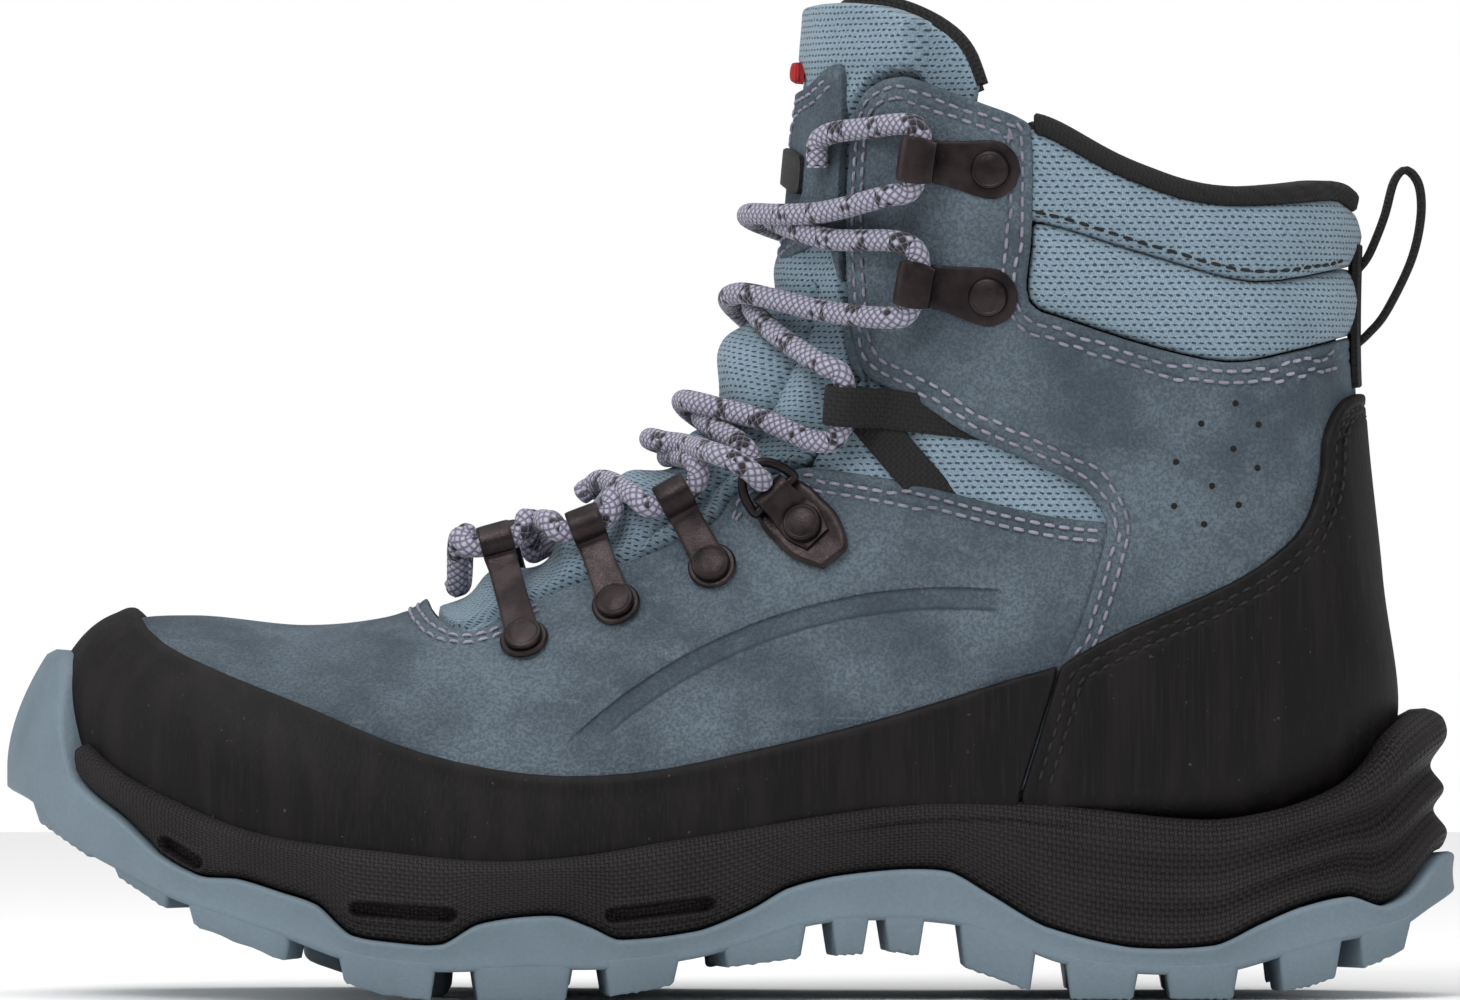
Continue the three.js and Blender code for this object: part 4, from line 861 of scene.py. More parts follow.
def vamp_shape(spot, p):
    """Slow swells, drawn-in stitch rows, the dip of one long pressed arc below the hardware, a lip round the
    throat's lowest point, and the dip where the quarter lies over the leather."""
    stitched = p[:, 0] > -2
    rows_ = np.where(stitched | (p[:, 0] < -38), stitch_groove((2.3, 4.3))(spot, p), 0)
    arc = abs(np.hypot(p[:, 0] - ARC_CENTRE[0], p[:, 2] - ARC_CENTRE[1]) - ARC_R)
    ends = np.clip((p[:, 0] + 34) / 6, 0, 1) * np.clip((60 - p[:, 0]) / 6, 0, 1)
    pressed = -0.55 * ends * np.clip((2.6 - arc) / 0.8, 0, 1)
    curl = (2.2 * bell(p[:, 0], -58, 9) * np.clip(1 - (p[:, 1] / 22) ** 2, 0, 1)
            * np.clip(1 - spot[:, EDGE] / 9, 0, 1) ** 1.3)
    tucked = -1.0 * np.clip((p[:, 0] - 58 - 0.28 * (p[:, 2] - 45)) / 8, 0, 1)
    return soft_leather(spot) + rows_ + pressed + curl + tucked * (p[:, 2] < 98)


vamp = panel("vamp_leather", vamp_outline, 0.0, -NUBUCK_THICK, NUBUCK, "nubuck", roll=0.7,
             stands_for=("vamp",), shape=vamp_shape,
      u_range=(0.0, 0.88), rows=176, around=196, levels=(0.15, 0.5, 1.0, 1.8, 2.3, 2.8, 3.8, 4.3, 4.8))

quarter_outline = np.vstack([
    under[under[:, 0] > 60][::-1], quarter_front[:-1], eyestay, tab_top[1:], collar_low[1:], [(150, 136.5)],
])
PERFORATIONS = np.array([
    (100.6, 118.8), (93.8, 114.8), (105.2, 114.6), (100.2, 109.8), (88.8, 107.2), (105, 106), (96, 102.4),
    (88.4, 98.4), (101.2, 98.6), (94.4, 94.8),
])


def quarter_lift(spot, p):
    """The quarter lies over the vamp along its front edge, and settles onto the form behind it."""
    return 0.9 * np.clip(1 - (p[:, 0] - 62 - 0.25 * (p[:, 2] - 60)) / 26, 0, 1)


def quarter_shape(spot, p):
    """Swells, and two drawn-in stitch rows along every edge."""
    return soft_leather(spot) + stitch_groove((2.2, 4.5))(spot, p)


quarters = {name: panel(
    f"quarter_leather_{name}", quarter_outline, quarter_lift, lambda s, p: quarter_lift(s, p) - NUBUCK_THICK,
    NUBUCK, "nubuck", roll=0.7, stands_for=(f"quarter_{name}",), shape=quarter_shape, u_range=(0.42, 1.0),
    turns=half_turns(side), rows=190, around=170, levels=(0.15, 0.5, 1.0, 1.7, 2.2, 2.7, 4.0, 4.5, 5.0),
) for name, side in SIDES.items()}

rand_outline = np.vstack([under[under[:, 0] < 55], [(57.1, 39.8 + TUCK)], parallel(seam_up, 0.15),
                          rand_top[::-1][1:], [(-126, 95), (-150, 95)]])
panel("rand", rand_outline, 2.0, 0.2, RAND_SKIN, "rand_rubber", roll=1.1, stands_for=("toe_rand",),
      shape=lambda s, p: 0.12 * np.sin(p[:, 0] / 13) * np.sin(p[:, 2] / 9)
      + 0.35 * bell(s[:, EDGE], 2.0, 1.4) * (p[:, 0] < 50),
      u_range=(0.0, 0.9), rows=200, around=220, levels=(0.2, 0.6, 1.1, 2.0))
counter_outline = np.vstack([under[under[:, 0] > 60][::-1], [(57.7, 39.8 + TUCK)], parallel(seam_up, -0.15),
                             counter_top[1:], [(150, 122.5)]])
heel_cover = panel("heel_cover", counter_outline, 2.05, 0.2, RAND_SKIN, "rand_rubber", roll=0.9,
                   stands_for=("heel_counter_cover",),
      shape=lambda s, p: stitch_groove((2.6, 4.8), 0.35)(s, p)
      + 0.1 * np.sin(p[:, 0] / 8) * np.sin(p[:, 2] / 14),
      u_range=(0.45, 1.0), rows=180, around=260, levels=(0.2, 0.5, 0.9, 2.1, 2.6, 3.1, 4.3, 4.8, 5.3))


def side_on(p):
    """A surface map for a flank: x and z."""
    return p[:, [0, 2]]


flex_outline = [
    (14, 101), (16, 96), (33, 94), (52, 89), (64, 86), (82, 84), (84, 97), (77, 109), (66, 114), (50, 121),
    (40, 127), (30, 131), (24, 122), (16, 108),
]
for name, side in SIDES.items():
    panel(f"flex_knit_{name}", flex_outline, -2.0, -3.25, KNIT, "knit", roll=0.4,
          stands_for=(f"flex_mesh_{name}",), surface=side_on,
          shape=lambda s, p: 1.2 * np.clip((s[:, EDGE] - 3) / 5, 0, 1) ** 0.7, u_range=(0.45, 0.9),
          turns=half_turns(side),
          rows=120, around=130, levels=(0.4, 3.0, 4.0))

# ------------------------------------------------------------------ lining and collar
lining_outline = np.vstack([
    [(-150, -5), (-150, 96), (-63, 96)], parallel(opening, -1.2), parallel(tab_top, -1)[1:],
    parallel(collar_seam, -GAP),
    [(150, 140), (150, -5)],
])
panel("lining_cloth", lining_outline, -3.6, -5.0, LINING_CLOTH, "lining_textile", roll=0.3,
      stands_for=("lining",),
      rows=120, around=130, levels=(0.3,))


# A line round the leg at the collar's mid height, and its turns about the leg's middle.
LEG_MIDDLE = 75
belt_x = np.linspace(40, 126, 90)
belt = np.vstack([on_side(belt_x, 150.0, -1)[0], on_side(belt_x, 150.0, 1)[0][::-1]])
belt_turn = np.unwrap(np.arctan2(belt[:, 1], belt[:, 0] - LEG_MIDDLE))
belt_length = lengths_along(belt[:, :2])


def round_the_leg(p):
    """A surface map for the collar: the length round the leg at mid height, and the height."""
    turn = np.arctan2(p[:, 1], p[:, 0] - LEG_MIDDLE)
    return np.c_[np.interp(turn, belt_turn, belt_length), p[:, 2]]


def along_x(line, low):
    """The part of a side line behind an x."""
    return line[line[:, 0] > low]


upper_pad_outline = np.vstack([
    [(58.5, 155.0)], along_x(parallel(collar_seam, 0.1), 60), [(150, 153.5)],
    along_x(parallel(collar_top, -3.0), 60)[::-1], [(58.5, 172)],
])
lower_pad_outline = np.vstack([
    cut(parallel(collar_low, 0.2), lambda x, z: z < 150), [(150, 138), (150, 149)],
    along_x(parallel(collar_seam, -0.1), 60)[::-1],
    [(60, 154.4)],
])


def pad_shape(height, reach):
    """A pad crowned like half a roll: it rises with the root of the distance to its edge up to its reach."""
    def shape(spot, p):
        rise = np.clip(spot[:, EDGE] / reach, 0, 1)
        ripple = (0.22 * np.sin(spot[:, ACROSS] / 4.1 + 1.3 * np.sin(spot[:, ALONG] / 6))
                  * rise * (1 - rise) * 2)
        return height * (np.sqrt(1 - (1 - rise) ** 2) - 1) + 0.9 * rise + ripple
    return shape


upper_pad = panel("collar_pad_upper", upper_pad_outline, 0.6, -8.0, KNIT, "knit", roll=1.2, smooth_foot=3.0,
                  stands_for=("collar_upper_pad",), shape=pad_shape(2.2, 7.0), surface=round_the_leg,
                  u_range=(0.78, 1.0), rows=90, around=300,
                  levels=(0.15, 0.5, 1.2, 2.4, 4.0))
lower_pad = panel("collar_pad_lower", lower_pad_outline, 0.5, -3.25, KNIT, "knit", roll=1.0, smooth_foot=0.6,
                  stands_for=("collar_lower_pad",), shape=pad_shape(2.0, 6.0), surface=round_the_leg,
                  u_range=(0.72, 1.0), rows=110, around=300,
                  levels=(0.15, 0.5, 1.2, 2.4, 4.0))
binding_outline = np.vstack([
    [(60.4, 171.6)], along_x(parallel(collar_top, -3.4), 61.2),
    along_x(parallel(collar_top, 0.6), 61.2)[::-1], [(60.4, 176.6)],
])
panel("collar_binding_strip", binding_outline, 0.5, -8.0, WEBBING, "webbing", roll=1.9, smooth_foot=1.9,
      stands_for=("collar_binding",), u_range=(0.8, 1.0), rows=110, around=300, levels=(0.2, 0.6, 1.2, 1.9))
panel("heel_strip", [(90, 119.5), (150, 124), (150, 151), (90, 151)], 1.45, 0.2, WEBBING, "webbing", roll=0.5,
      stands_for=("back_strip",), u_range=(0.85, 1.0), turns=(math.pi - 0.2, math.pi + 0.2), rows=90,
      around=40, levels=(0.2, 0.5))

# ------------------------------------------------------------------ tongue
wing_outline = np.vstack([spline(TONGUE_WING, 24), [(-62, 96), (-40, 130), (-20, 190)],
                          spline(TONGUE_TOP, 20)[:-1]])
tongue_top = spline(TONGUE_TOP, 24)
# How far the tongue's stitched channels lie from its ridge, and the edge of the opening closed over the toe.
CHANNEL_ACROSS = 19.0
opening_area = np.vstack([opening, [(37, 184), (38, 205), (-20, 205), (-40, 130), (-61, 100)]])


def tongue_face(spot, p):
    """The tongue's outer height: flush with the leather inside the throat and low under the quarters. Over
    the ridge it swells into a row of puffs, one for each gap in the lacing, with a stitched channel at
    their sides."""
    u, c = spot[:, U], abs(spot[:, ACROSS])
    gap, _ = edge_distance(p[:, [0, 2]], opening_area)
    inside = np.clip((gap + 0.2) / 2.4, 0, 1)
    inside = inside**2 * (3 - 2 * inside)
    height = -5.35 + 5.05 * inside
    puffs = sum(h * np.exp(-(abs(u - at) / w) ** 2.4) for at, w, h in PUFFS)
    crown = np.exp(-(c / 17.0) ** 4)
    side_puffs = sum(0.55 * h * np.exp(-(abs(u - at - 0.012) / (w * 1.1)) ** 2.4) for at, w, h in PUFFS)
    sides_ = np.exp(-(((c - 25) / 5.5) ** 2)) * inside
    channel = -1.5 * bell(c, CHANNEL_ACROSS, 0.9) * inside * (u < 0.86)
    wave = 0.15 * np.sin(spot[:, ALONG] / 2.7) * np.sin(spot[:, ACROSS] / 3.1) * inside
    top_pad = np.clip((p[:, 2] - 184) / 4, 0, 1) * 1.4
    return height + puffs * crown + side_puffs * sides_ + channel + wave + top_pad * inside


# Just beside the front line, where the form's two sides meet.
RIDGE_S = 0.0008
ridge = form_point(np.linspace(0.42, 1.0, 160), RIDGE_S, 1)
ridge_length = lengths_along(ridge)


def over_the_ridge(p):
    """A surface map for the tongue: across, how far a point lies beside and behind the ridge; along, the
    ridge's length up to the point's height."""
    behind = np.maximum(p[:, 0] - np.interp(p[:, 2], ridge[:, 2], ridge[:, 0]), 0)
    return np.c_[np.sign(p[:, 1]) * (abs(p[:, 1]) + behind) * 0.85,
                 np.interp(p[:, 2], ridge[:, 2], ridge_length)]


tongue_pad = panel("tongue_pad", wing_outline, tongue_face, -8.75, KNIT, "knit", roll=1.5, smooth_foot=1.5,
                   stands_for=("tongue",),
                   u_range=(0.4, 1.0), turns=(-2.3, 2.3), rows=250, around=230, levels=(0.2, 0.7, 1.5),
                   surface=over_the_ridge)

eyestay_side = parallel(eyestay, 1.2)
patch_top, patch_low = spline(PATCH_TOP, 16), spline(PATCH_LOW, 12)
patch_outline = np.vstack([
    patch_top[patch_top[:, 0] < 23.5], [(23.2, 178)], eyestay_side[eyestay_side[:, 1] < 174][::-1],
    patch_low[patch_low[:, 0] < 21],
])
tongue_patch = panel("tongue_patch_leather", patch_outline, 1.3, -0.6, NUBUCK, "nubuck", roll=0.5,
                     stands_for=("tongue_patch",),
      shape=lambda s, p: stitch_groove((2.0, 4.2), 0.25)(s, p) * (abs(p[:, 0] - 22.5) > 2.5)
      + 0.5 * soft_leather(s),
      u_range=(0.7, 1.0), turns=(-1.5, 1.5), rows=160, around=140,
      levels=(0.15, 0.5, 1.5, 2.0, 2.5, 3.7, 4.2, 4.7))


# ------------------------------------------------------------------ general shapes
def welded(points, quads, uv):
    """Points that coincide become one, quads that lose one corner become triangles, and quads that shrink
    to a line go. uv holds a pair for each corner of a quad, and comes back in the order of the faces that
    are left."""
    first, back = weld(points)
    quads = back[quads]
    doubled = quads == np.roll(quads, -1, axis=1)
    whole, thin = doubled.sum(1) == 0, doubled.sum(1) == 1
    order = (doubled[thin].argmax(1)[:, None] + np.arange(1, 4)) % 4
    groups = [quads[whole], np.take_along_axis(quads[thin], order, 1)]
    pairs = [uv[whole].reshape(-1, 2), np.take_along_axis(uv[thin], order[..., None], 1).reshape(-1, 2)]
    return points[first], [g for g in groups if len(g)], np.concatenate(pairs)


def sheet_faces(rows, columns, closed_rows=False, closed_columns=False, start=0):
    """Quads of a grid of points, row by row. A closed direction joins its last line to its first."""
    i, j = np.meshgrid(np.arange(rows - (not closed_rows)), np.arange(columns - (not closed_columns)),
                       indexing="ij")
    i, j = i.ravel(), j.ravel()
    k, m = (i + 1) % rows, (j + 1) % columns
    return np.c_[i * columns + j, k * columns + j, k * columns + m, i * columns + m] + start


def sweep(line, side, up, section, closed=False, widths=None, heights=None):
    """A section carried along a line: each point of it stands at its x along side and its y along up. The
    ends close on their middles. Gives points and quads that look outwards for a section that runs
    anticlockwise."""
    line, section = np.asarray(line, float), np.asarray(section, float)
    w = np.ones(len(line)) if widths is None else np.asarray(widths, float)
    h = np.ones(len(line)) if heights is None else np.asarray(heights, float)
    rings = (line[:, None] + side[:, None] * (section[None, :, :1] * w[:, None, None])
             + up[:, None] * (section[None, :, 1:] * h[:, None, None]))
    n, m = rings.shape[:2]
    faces = sheet_faces(n, m, closed_rows=closed, closed_columns=True)
    points = rings.reshape(-1, 3)
    if closed:
        return points, [faces]
    points = np.vstack([points, line[:1], line[-1:]])
    j = np.arange(m)
    k = (j + 1) % m
    first = np.c_[np.full(m, n * m), j, k]
    last = np.c_[np.full(m, n * m + 1), (n - 1) * m + k, (n - 1) * m + j]
    return points, [faces, np.vstack([first, last])]


def inside_out(points, groups):
    """Whether the shell that the faces make encloses a negative volume."""
    volume = 0.0
    for g in groups:
        a = points[g[:, 0]]
        for k in range(1, g.shape[1] - 1):
            volume += np.einsum("ij,ij->i", a, np.cross(points[g[:, k]], points[g[:, k + 1]])).sum()
    return volume <= 0


def outward(points, groups):
    """Faces turned round together if their shell is inside out."""
    return [g[:, ::-1] for g in groups] if inside_out(points, groups) else groups


def gather(shells):
    """Several shells of (points, face groups) as one."""
    points, quads, triangles, start = [], [], [], 0
    for p, groups in shells:
        for g in outward(p, groups):
            (quads if g.shape[1] == 4 else triangles).append(g + start)
        points.append(p)
        start += len(p)
    return np.vstack(points), [np.vstack(g) for g in (quads, triangles) if g]


def circle(count, radius=1.0, power=2.0):
    """A closed section: a circle, or squarer for a power over two."""
    a = 2 * np.pi * np.arange(count) / count
    c, s = np.cos(a), np.sin(a)
    return np.stack([np.sign(c) * abs(c) ** (2 / power), np.sign(s) * abs(s) ** (2 / power)], 1) * radius


def closed_net(points, rows, columns):
    """A shell of rows of points, each row closed on itself, with its doubles made one."""
    quads = sheet_faces(rows, columns, closed_columns=True)
    return welded(points, quads, np.zeros((*quads.shape, 2)))[:2]


def lathe(profile_, frame_, count=32):
    """A profile of (radius, height) turned round a frame's upward direction: (point, along, across, up)."""
    point, d, b, n = frame_
    a = 2 * np.pi * np.arange(count) / count
    rows = [point + n * h + (np.cos(a)[:, None] * d + np.sin(a)[:, None] * b) * max(r, 1e-4)
            for r, h in profile_]
    return closed_net(np.vstack(rows), len(profile_), count)


def carried_frames(line, start_up):
    """Side and up directions along a line, carried from ring to ring with the least turn."""
    along = unit(np.gradient(line, axis=0))
    up = np.empty_like(line)
    last = unit(start_up - along[0] * (start_up @ along[0]))
    for i, t in enumerate(along):
        last = last - t * (last @ t)
        last = last / max(np.linalg.norm(last), 1e-9)
        up[i] = last
    return unit(np.cross(along, up)), up


# ------------------------------------------------------------------ sole
SOLE_PLAN = [
    (-145.8, 8), (-141, -11), (-128, -30.5), (-108, -45), (-85, -52.5), (-58, -55), (-25, -51.5), (10, -45),
    (45, -40.5), (85, -39.8), (115, -37), (134, -27.5), (143.6, -13), (145.9, 0), (143.6, 13), (134, 27.5),
    (115, 37), (85, 38.6), (45, 37), (10, 39.5), (-25, 47.5), (-58, 54), (-82, 55), (-108, 51), (-128, 41),
    (-141, 26),
]
SEAM_HEIGHT = [
    (-146.2, 69.6), (-142, 68.6), (-139, 65), (-137, 60), (-134, 51), (-131, 43.4), (-121.6, 35.9),
    (-114, 29), (-106, 25), (-98, 24.4), (-89.8, 22), (-82.2, 19.4), (-75.6, 13.6), (-67, 12), (-57, 11.6),
    (-50.2, 15.4), (-42, 16.9), (-33.6, 17.1), (-27, 14.7), (-21.8, 12.4), (-5.7, 14.2), (4.7, 18.4),
    (11.6, 22.4), (20.8, 24.8), (34.7, 26.2), (44, 25.6), (51.8, 21.1), (62.6, 14.8), (79.7, 10.6),
    (96.6, 11), (105.8, 15.2), (113.6, 18.4), (124, 20.6), (131, 18.6), (137, 21), (143.5, 28), (146.2, 29),
]
SOLE_UNDER = [
    (-150, 42), (-141, 39), (-132, 31), (-122, 25.6), (-112, 20.6), (-100, 16.6), (-88, 12.6), (-76, 8.4),
    (-60, 6.2), (-40, 6.6), (-24, 6.6), (-8, 8.4), (4, 11.4), (14, 14.6), (25, 16), (44, 15.2), (55, 11.6),
    (66, 7.4), (80, 5.4), (98, 5.6), (110, 8.6), (122, 11.6), (134, 14), (141, 18), (150, 23),
]
TREAD = np.array([
    (-150, 38), (-139, 34.5), (-126, 26.5), (-109, 15.6), (-87, 7.4), (-70, 1.6), (-58, 0), (-30, 0),
    (-14, 2.4), (0, 6.6), (16, 8.6), (34, 9.6), (48, 6), (60, 1.6), (68, 0), (102, 0), (116, 2.6), (130, 7),
    (140, 12), (150, 18),
], float)
EDGE_LUGS = [
    (-141, -127), (-124, -111.5), (-108.5, -87), (-78, -58), (-51, -31), (-25, -9.5), (-1.5, 15.6), (20, 28),
    (30.5, 39), (45.5, 61), (66.5, 81.5), (86.5, 101.5), (109, 122.5), (125.5, 137),
]
LUG_INSET = 15
CENTRE_LUGS = [
    (-118, 7, 7), (-99, -6, 7.5), (-99, 15, 7.5), (-80, 4, 8), (-62, -14, 8), (-62, 16, 8), (-41, 1, 8),
    (-20, -10, 7.5), (-20, 12, 7.5), (0, 0, 7), (54, 0, 6.5), (73, 0, 7.5), (94, 0, 7.5), (114, 0, 7.5),
]
SLOTS = [((-112.6, 31.2), (-106.8, 27.8)), ((-74, 18.6), (-55.6, 17.4)), ((-23, 17.2), (-4.4, 19.4))]
plan = spline([*SOLE_PLAN, SOLE_PLAN[0]], 1560)
tip, heel = 0, int(np.argmax(plan[:, 0]))
outer_edge, inner_edge = plan[tip: heel + 1], plan[heel:][::-1]
seam_height, under_height, feather_height = through(SEAM_HEIGHT), through(SOLE_UNDER), through(
    [(-150, 54), *FEATHER_LINE, (150, 60)])


def plan_point(x, side, out):
    """A point of the sole's plan outline at x on one side, moved outwards by out, as (x, y)."""
    edge_ = outer_edge if side < 0 else inner_edge
    e = 0.35
    x = np.clip(x, plan[:, 0].min() + 1e-6, plan[:, 0].max() - 1e-6)
    y = np.interp(x, edge_[:, 0], edge_[:, 1])
    before = np.maximum(x - e, plan[:, 0].min())
    after = np.minimum(x + e, plan[:, 0].max())
    slope = np.stack([after - before,
                      np.interp(after, edge_[:, 0], edge_[:, 1])
                      - np.interp(before, edge_[:, 0], edge_[:, 1])], -1)
    t = unit(slope)
    n = np.stack([t[..., 1], -t[..., 0]], -1) if side < 0 else np.stack([-t[..., 1], t[..., 0]], -1)
    ends = np.clip((np.minimum(x - plan[:, 0].min(), plan[:, 0].max() - x)) / 1.2, 0, 1)[..., None]
    tip_way = np.stack([np.where(x < 0, -1.0, 1.0), 0 * x], -1)
    n = unit(n * ends + tip_way * (1 - ends))
    return np.stack([x, y], -1) + n * np.reshape(out, np.shape(out) + (1,))


# How far each sole layer reaches in from its wall before it runs level to the middle.
SOLE_REACH = 14.0


def sole_layer(name, low, high, out, material, slot, node, rows, stations):
    """A layer of the sole, lofted from toe to heel: at each station its section runs from the middle of the
    underside out to the wall, up the wall between the heights low and high, and over the top to the middle.
    out(x, share, z) pushes the wall outwards, and its top and bottom edges are rounded."""
    angle = np.linspace(0, np.pi, stations)
    start, end = plan[:, 0].min(), plan[:, 0].max()
    x = (start + end) / 2 - (end - start) / 2 * np.cos(angle)
    bottom, top = low(x), np.maximum(high(x), low(x) + 0.3)
    share = np.linspace(0, 1, rows)
    loops = []
    for side in (-1, 1):
        wall = []
        for r in share:
            z = bottom + (top - bottom) * r
            drop = rounded(np.minimum(z - bottom, top - z), 1.3)
            wall.append(np.c_[plan_point(x, side, out(x, r, z) - drop), z])
        inner_top = np.c_[plan_point(x, side, out(x, 1.0, top) - 4.0), top - 0.2]
        deep_top = np.c_[plan_point(x, side, -SOLE_REACH), top - 3.0]
        deep_bottom = np.c_[plan_point(x, side, -SOLE_REACH), bottom + 0.4]
        loops.append([deep_bottom, *wall, inner_top, deep_top])
    mid_low = (loops[0][0] + loops[1][0]) / 2
    mid_high = (loops[0][-1] + loops[1][-1]) / 2
    section = [mid_low, *loops[0], mid_high, *loops[1][::-1]]
    grid = np.stack(section, 0)
    points = grid.reshape(-1, 3)
    quads, = outward(points, [sheet_faces(len(section), stations, closed_rows=True)])
    path = lengths_along(plan_point(x, -1, 0.0))
    heights = np.concatenate([[0], np.cumsum(np.linalg.norm(np.diff(grid, axis=0), axis=2).mean(1))])
    uv = np.stack(np.broadcast_arrays(path[None, :], heights[:, None]), -1).reshape(-1, 2)
    points, groups, uv = welded(points, quads, uv[quads])
    return put(name, np.round(points, 3), groups, material, slot, stands_for=(node,), uv=uv, angle=50)


RIDGES = through([(0, -1.6), (0.14, -0.3), (0.29, -3.0), (0.44, -0.9), (0.60, -3.6), (0.80, -0.4),
                  (0.93, -1.0), (1, -3.4)])
PLAIN_WALL = through([(0, -1.0), (0.25, -0.2), (0.8, 0.1), (1, -1.2)])


def outsole_top(x):
    """The outsole's upper edge: the smooth line, drawn a little towards straight spans between its points."""
    return np.interp(x, *np.array(SEAM_HEIGHT).T) * 0.3 + seam_height(x) * 0.7


def midsole_out(x, share, z):
    """The midsole's wall: almost plain at the front, three long ridges at the heel, a fine crease under its
    upper edge, and narrow slots over the front lugs."""
    at_heel = np.clip((x - 52) / 78, 0, 1) ** 1.3
    ridge_share = np.clip(share + 0.10 * (1 - at_heel), 0, 1)
    out = -1.0 + (1 - at_heel) * PLAIN_WALL(share) + at_heel * (RIDGES(ridge_share) - 0.4)
    crease = -0.6 * bell(feather_height(x) - z, 4.4, 0.55) * np.clip((x - 16) / 14, 0, 1) * (1 - at_heel)
    for (ax, az), (bx, bz) in SLOTS:
        t = np.clip(((x - ax) * (bx - ax) + (z - az) * (bz - az)) / ((bx - ax) ** 2 + (bz - az) ** 2), 0, 1)
        gap = np.hypot(x - ax - t * (bx - ax), z - az - t * (bz - az))
        out = out - 2.6 * np.clip((1.5 - gap) / 0.5, 0, 1) + 0.5 * bell(gap, 2.1, 0.5)
    toe = np.clip((-131.5 - x) / 3.0, 0, 1)
    return out + crease - 14 * toe


def outsole_out(x, share, z):
    """The outsole's wall: a shallow hollow between its edges, and at the toe a bumper that leans back to
    the rand."""
    lean = np.clip((z - 46) / 24, 0, 1)
    hollow = -0.5 * np.sin(np.pi * share) * np.clip((x + 130) / 20, 0, 1)
    front = np.clip((-118 - x) / 18, 0, 1)
    return hollow - 9.0 * lean**1.8 * front


sole_layer("outsole_wall", under_height, outsole_top, outsole_out, SOLE, "sole_rubber", "outsole", 30, 460)
sole_layer("midsole_wall", lambda x: seam_height(x) + 0.25, feather_height, midsole_out, FOAM, "midsole_foam",
           "midsole", 64, 620)


def block_net(a_values, rounding=0.22):
    """A cube's surface as points in -1..1 with rounded edges, and its quads. a_values divides it along x."""
    short = np.array([-1, -1 + rounding / 2, -1 + rounding, 1 - rounding, 1 - rounding / 2, 1])
    sets = [a_values, short, short]
    points, faces, start = [], [], 0
    for axis in range(3):
        one, two = [k for k in range(3) if k != axis]
        g1, g2 = np.meshgrid(sets[one], sets[two], indexing="ij")
        for end in (-1.0, 1.0):
            p = np.empty((g1.size, 3))
            p[:, axis], p[:, one], p[:, two] = end, g1.ravel(), g2.ravel()
            f = sheet_faces(*g1.shape, start=start)
            turn_round = (end > 0) == (axis == 1)
            faces.append(f[:, ::-1] if turn_round else f)
            points.append(p)
            start += len(p)
    p, f = np.vstack(points), np.vstack(faces)
    core = np.clip(p, -1 + rounding, 1 - rounding)
    p = core + unit(p - core) * rounding * (np.linalg.norm(p - core, axis=1, keepdims=True) > 1e-9)
    first, back = weld(p, 5)
    return p[first], back[f]


def tread_lugs():
    """The outsole's lugs: rounded blocks under the wall on both sides, finely toothed below, and centre
    blocks."""
    fine = np.concatenate([[-1, -0.94], np.linspace(-0.86, 0.86, 13), [0.94, 1]])
    net_, quads = block_net(fine, 0.14)
    shells = []
    for a, b in EDGE_LUGS:
        for side in (-1, 1):
            foot = (1 - net_[:, 2]) / 2
            x = (a + b) / 2 + net_[:, 0] * ((b - a) / 2 - 1.3 * foot)
            depth = (1 - net_[:, 1]) / 2 * LUG_INSET
            xy = plan_point(x, side, -depth - 0.15 - 0.9 * foot * (net_[:, 1] > 0))
            ground = np.interp(x, TREAD[:, 0], TREAD[:, 1])
            teeth = 0.35 * foot * abs(np.sin(x * 1.9)) * (x < 132)
            z = ground + teeth + (under_height(x) + 2.0 - ground) * (1 + net_[:, 2]) / 2
            shells.append((np.c_[xy, z], [quads]))
    net_, quads = block_net(np.array([-1, -0.8, -0.5, 0.5, 0.8, 1]), 0.4)
    for cx, cy, r in CENTRE_LUGS:
        foot = (1 - net_[:, 2]) / 2
        x = cx + net_[:, 0] * r * (0.78 - 0.08 * foot)
        y = cy + net_[:, 1] * r * (0.78 - 0.08 * foot)
        ground = np.interp(x, TREAD[:, 0], TREAD[:, 1]) + 0.1
        z = ground + (under_height(x) + 2.0 - ground) * (1 + net_[:, 2]) / 2
        shells.append((np.c_[x, y, z], [quads]))
    points, groups = gather(shells)
    return put("outsole_lugs", points, groups, SOLE, "sole_rubber", angle=40)


tread_lugs()

# ------------------------------------------------------------------ hardware
LACE_R = 2.2
LOOPS = [((-41, 71.4), (-44.6, 83)), ((-22.6, 78.4), (-27, 90)), ((-3.4, 86.1), (-9.6, 97.4))]
RING = ((15, 94.2), (4.4, 104.8))
WEB = ((45, 116.4), (24.4, 118.6))
HOOKS = [((51.6, 140), (36.6, 143.2)), ((52, 165.3), (37, 167.6))]
RIDGE_STOPS = [0.505, 0.58, 0.627, 0.695, 0.73, 0.818, 0.888]
KNUCKLE, RING_R, RING_LONG, RING_WIRE, RING_LEAN = 8.2, 5.4, 7.6, 0.9, math.radians(26)
PLATE, LOOP_MIDDLE = 1.0, 3.45
CAP_R, BASE_R = 3.9, 4.9
SEAT = GAP + PLATE + GAP
LOOP_LIFT = GAP + 3.9 + 0.05
HOOK_LIFT = SEAT + LACE_R
BAR_LIFT = GAP + PLATE + 1.6


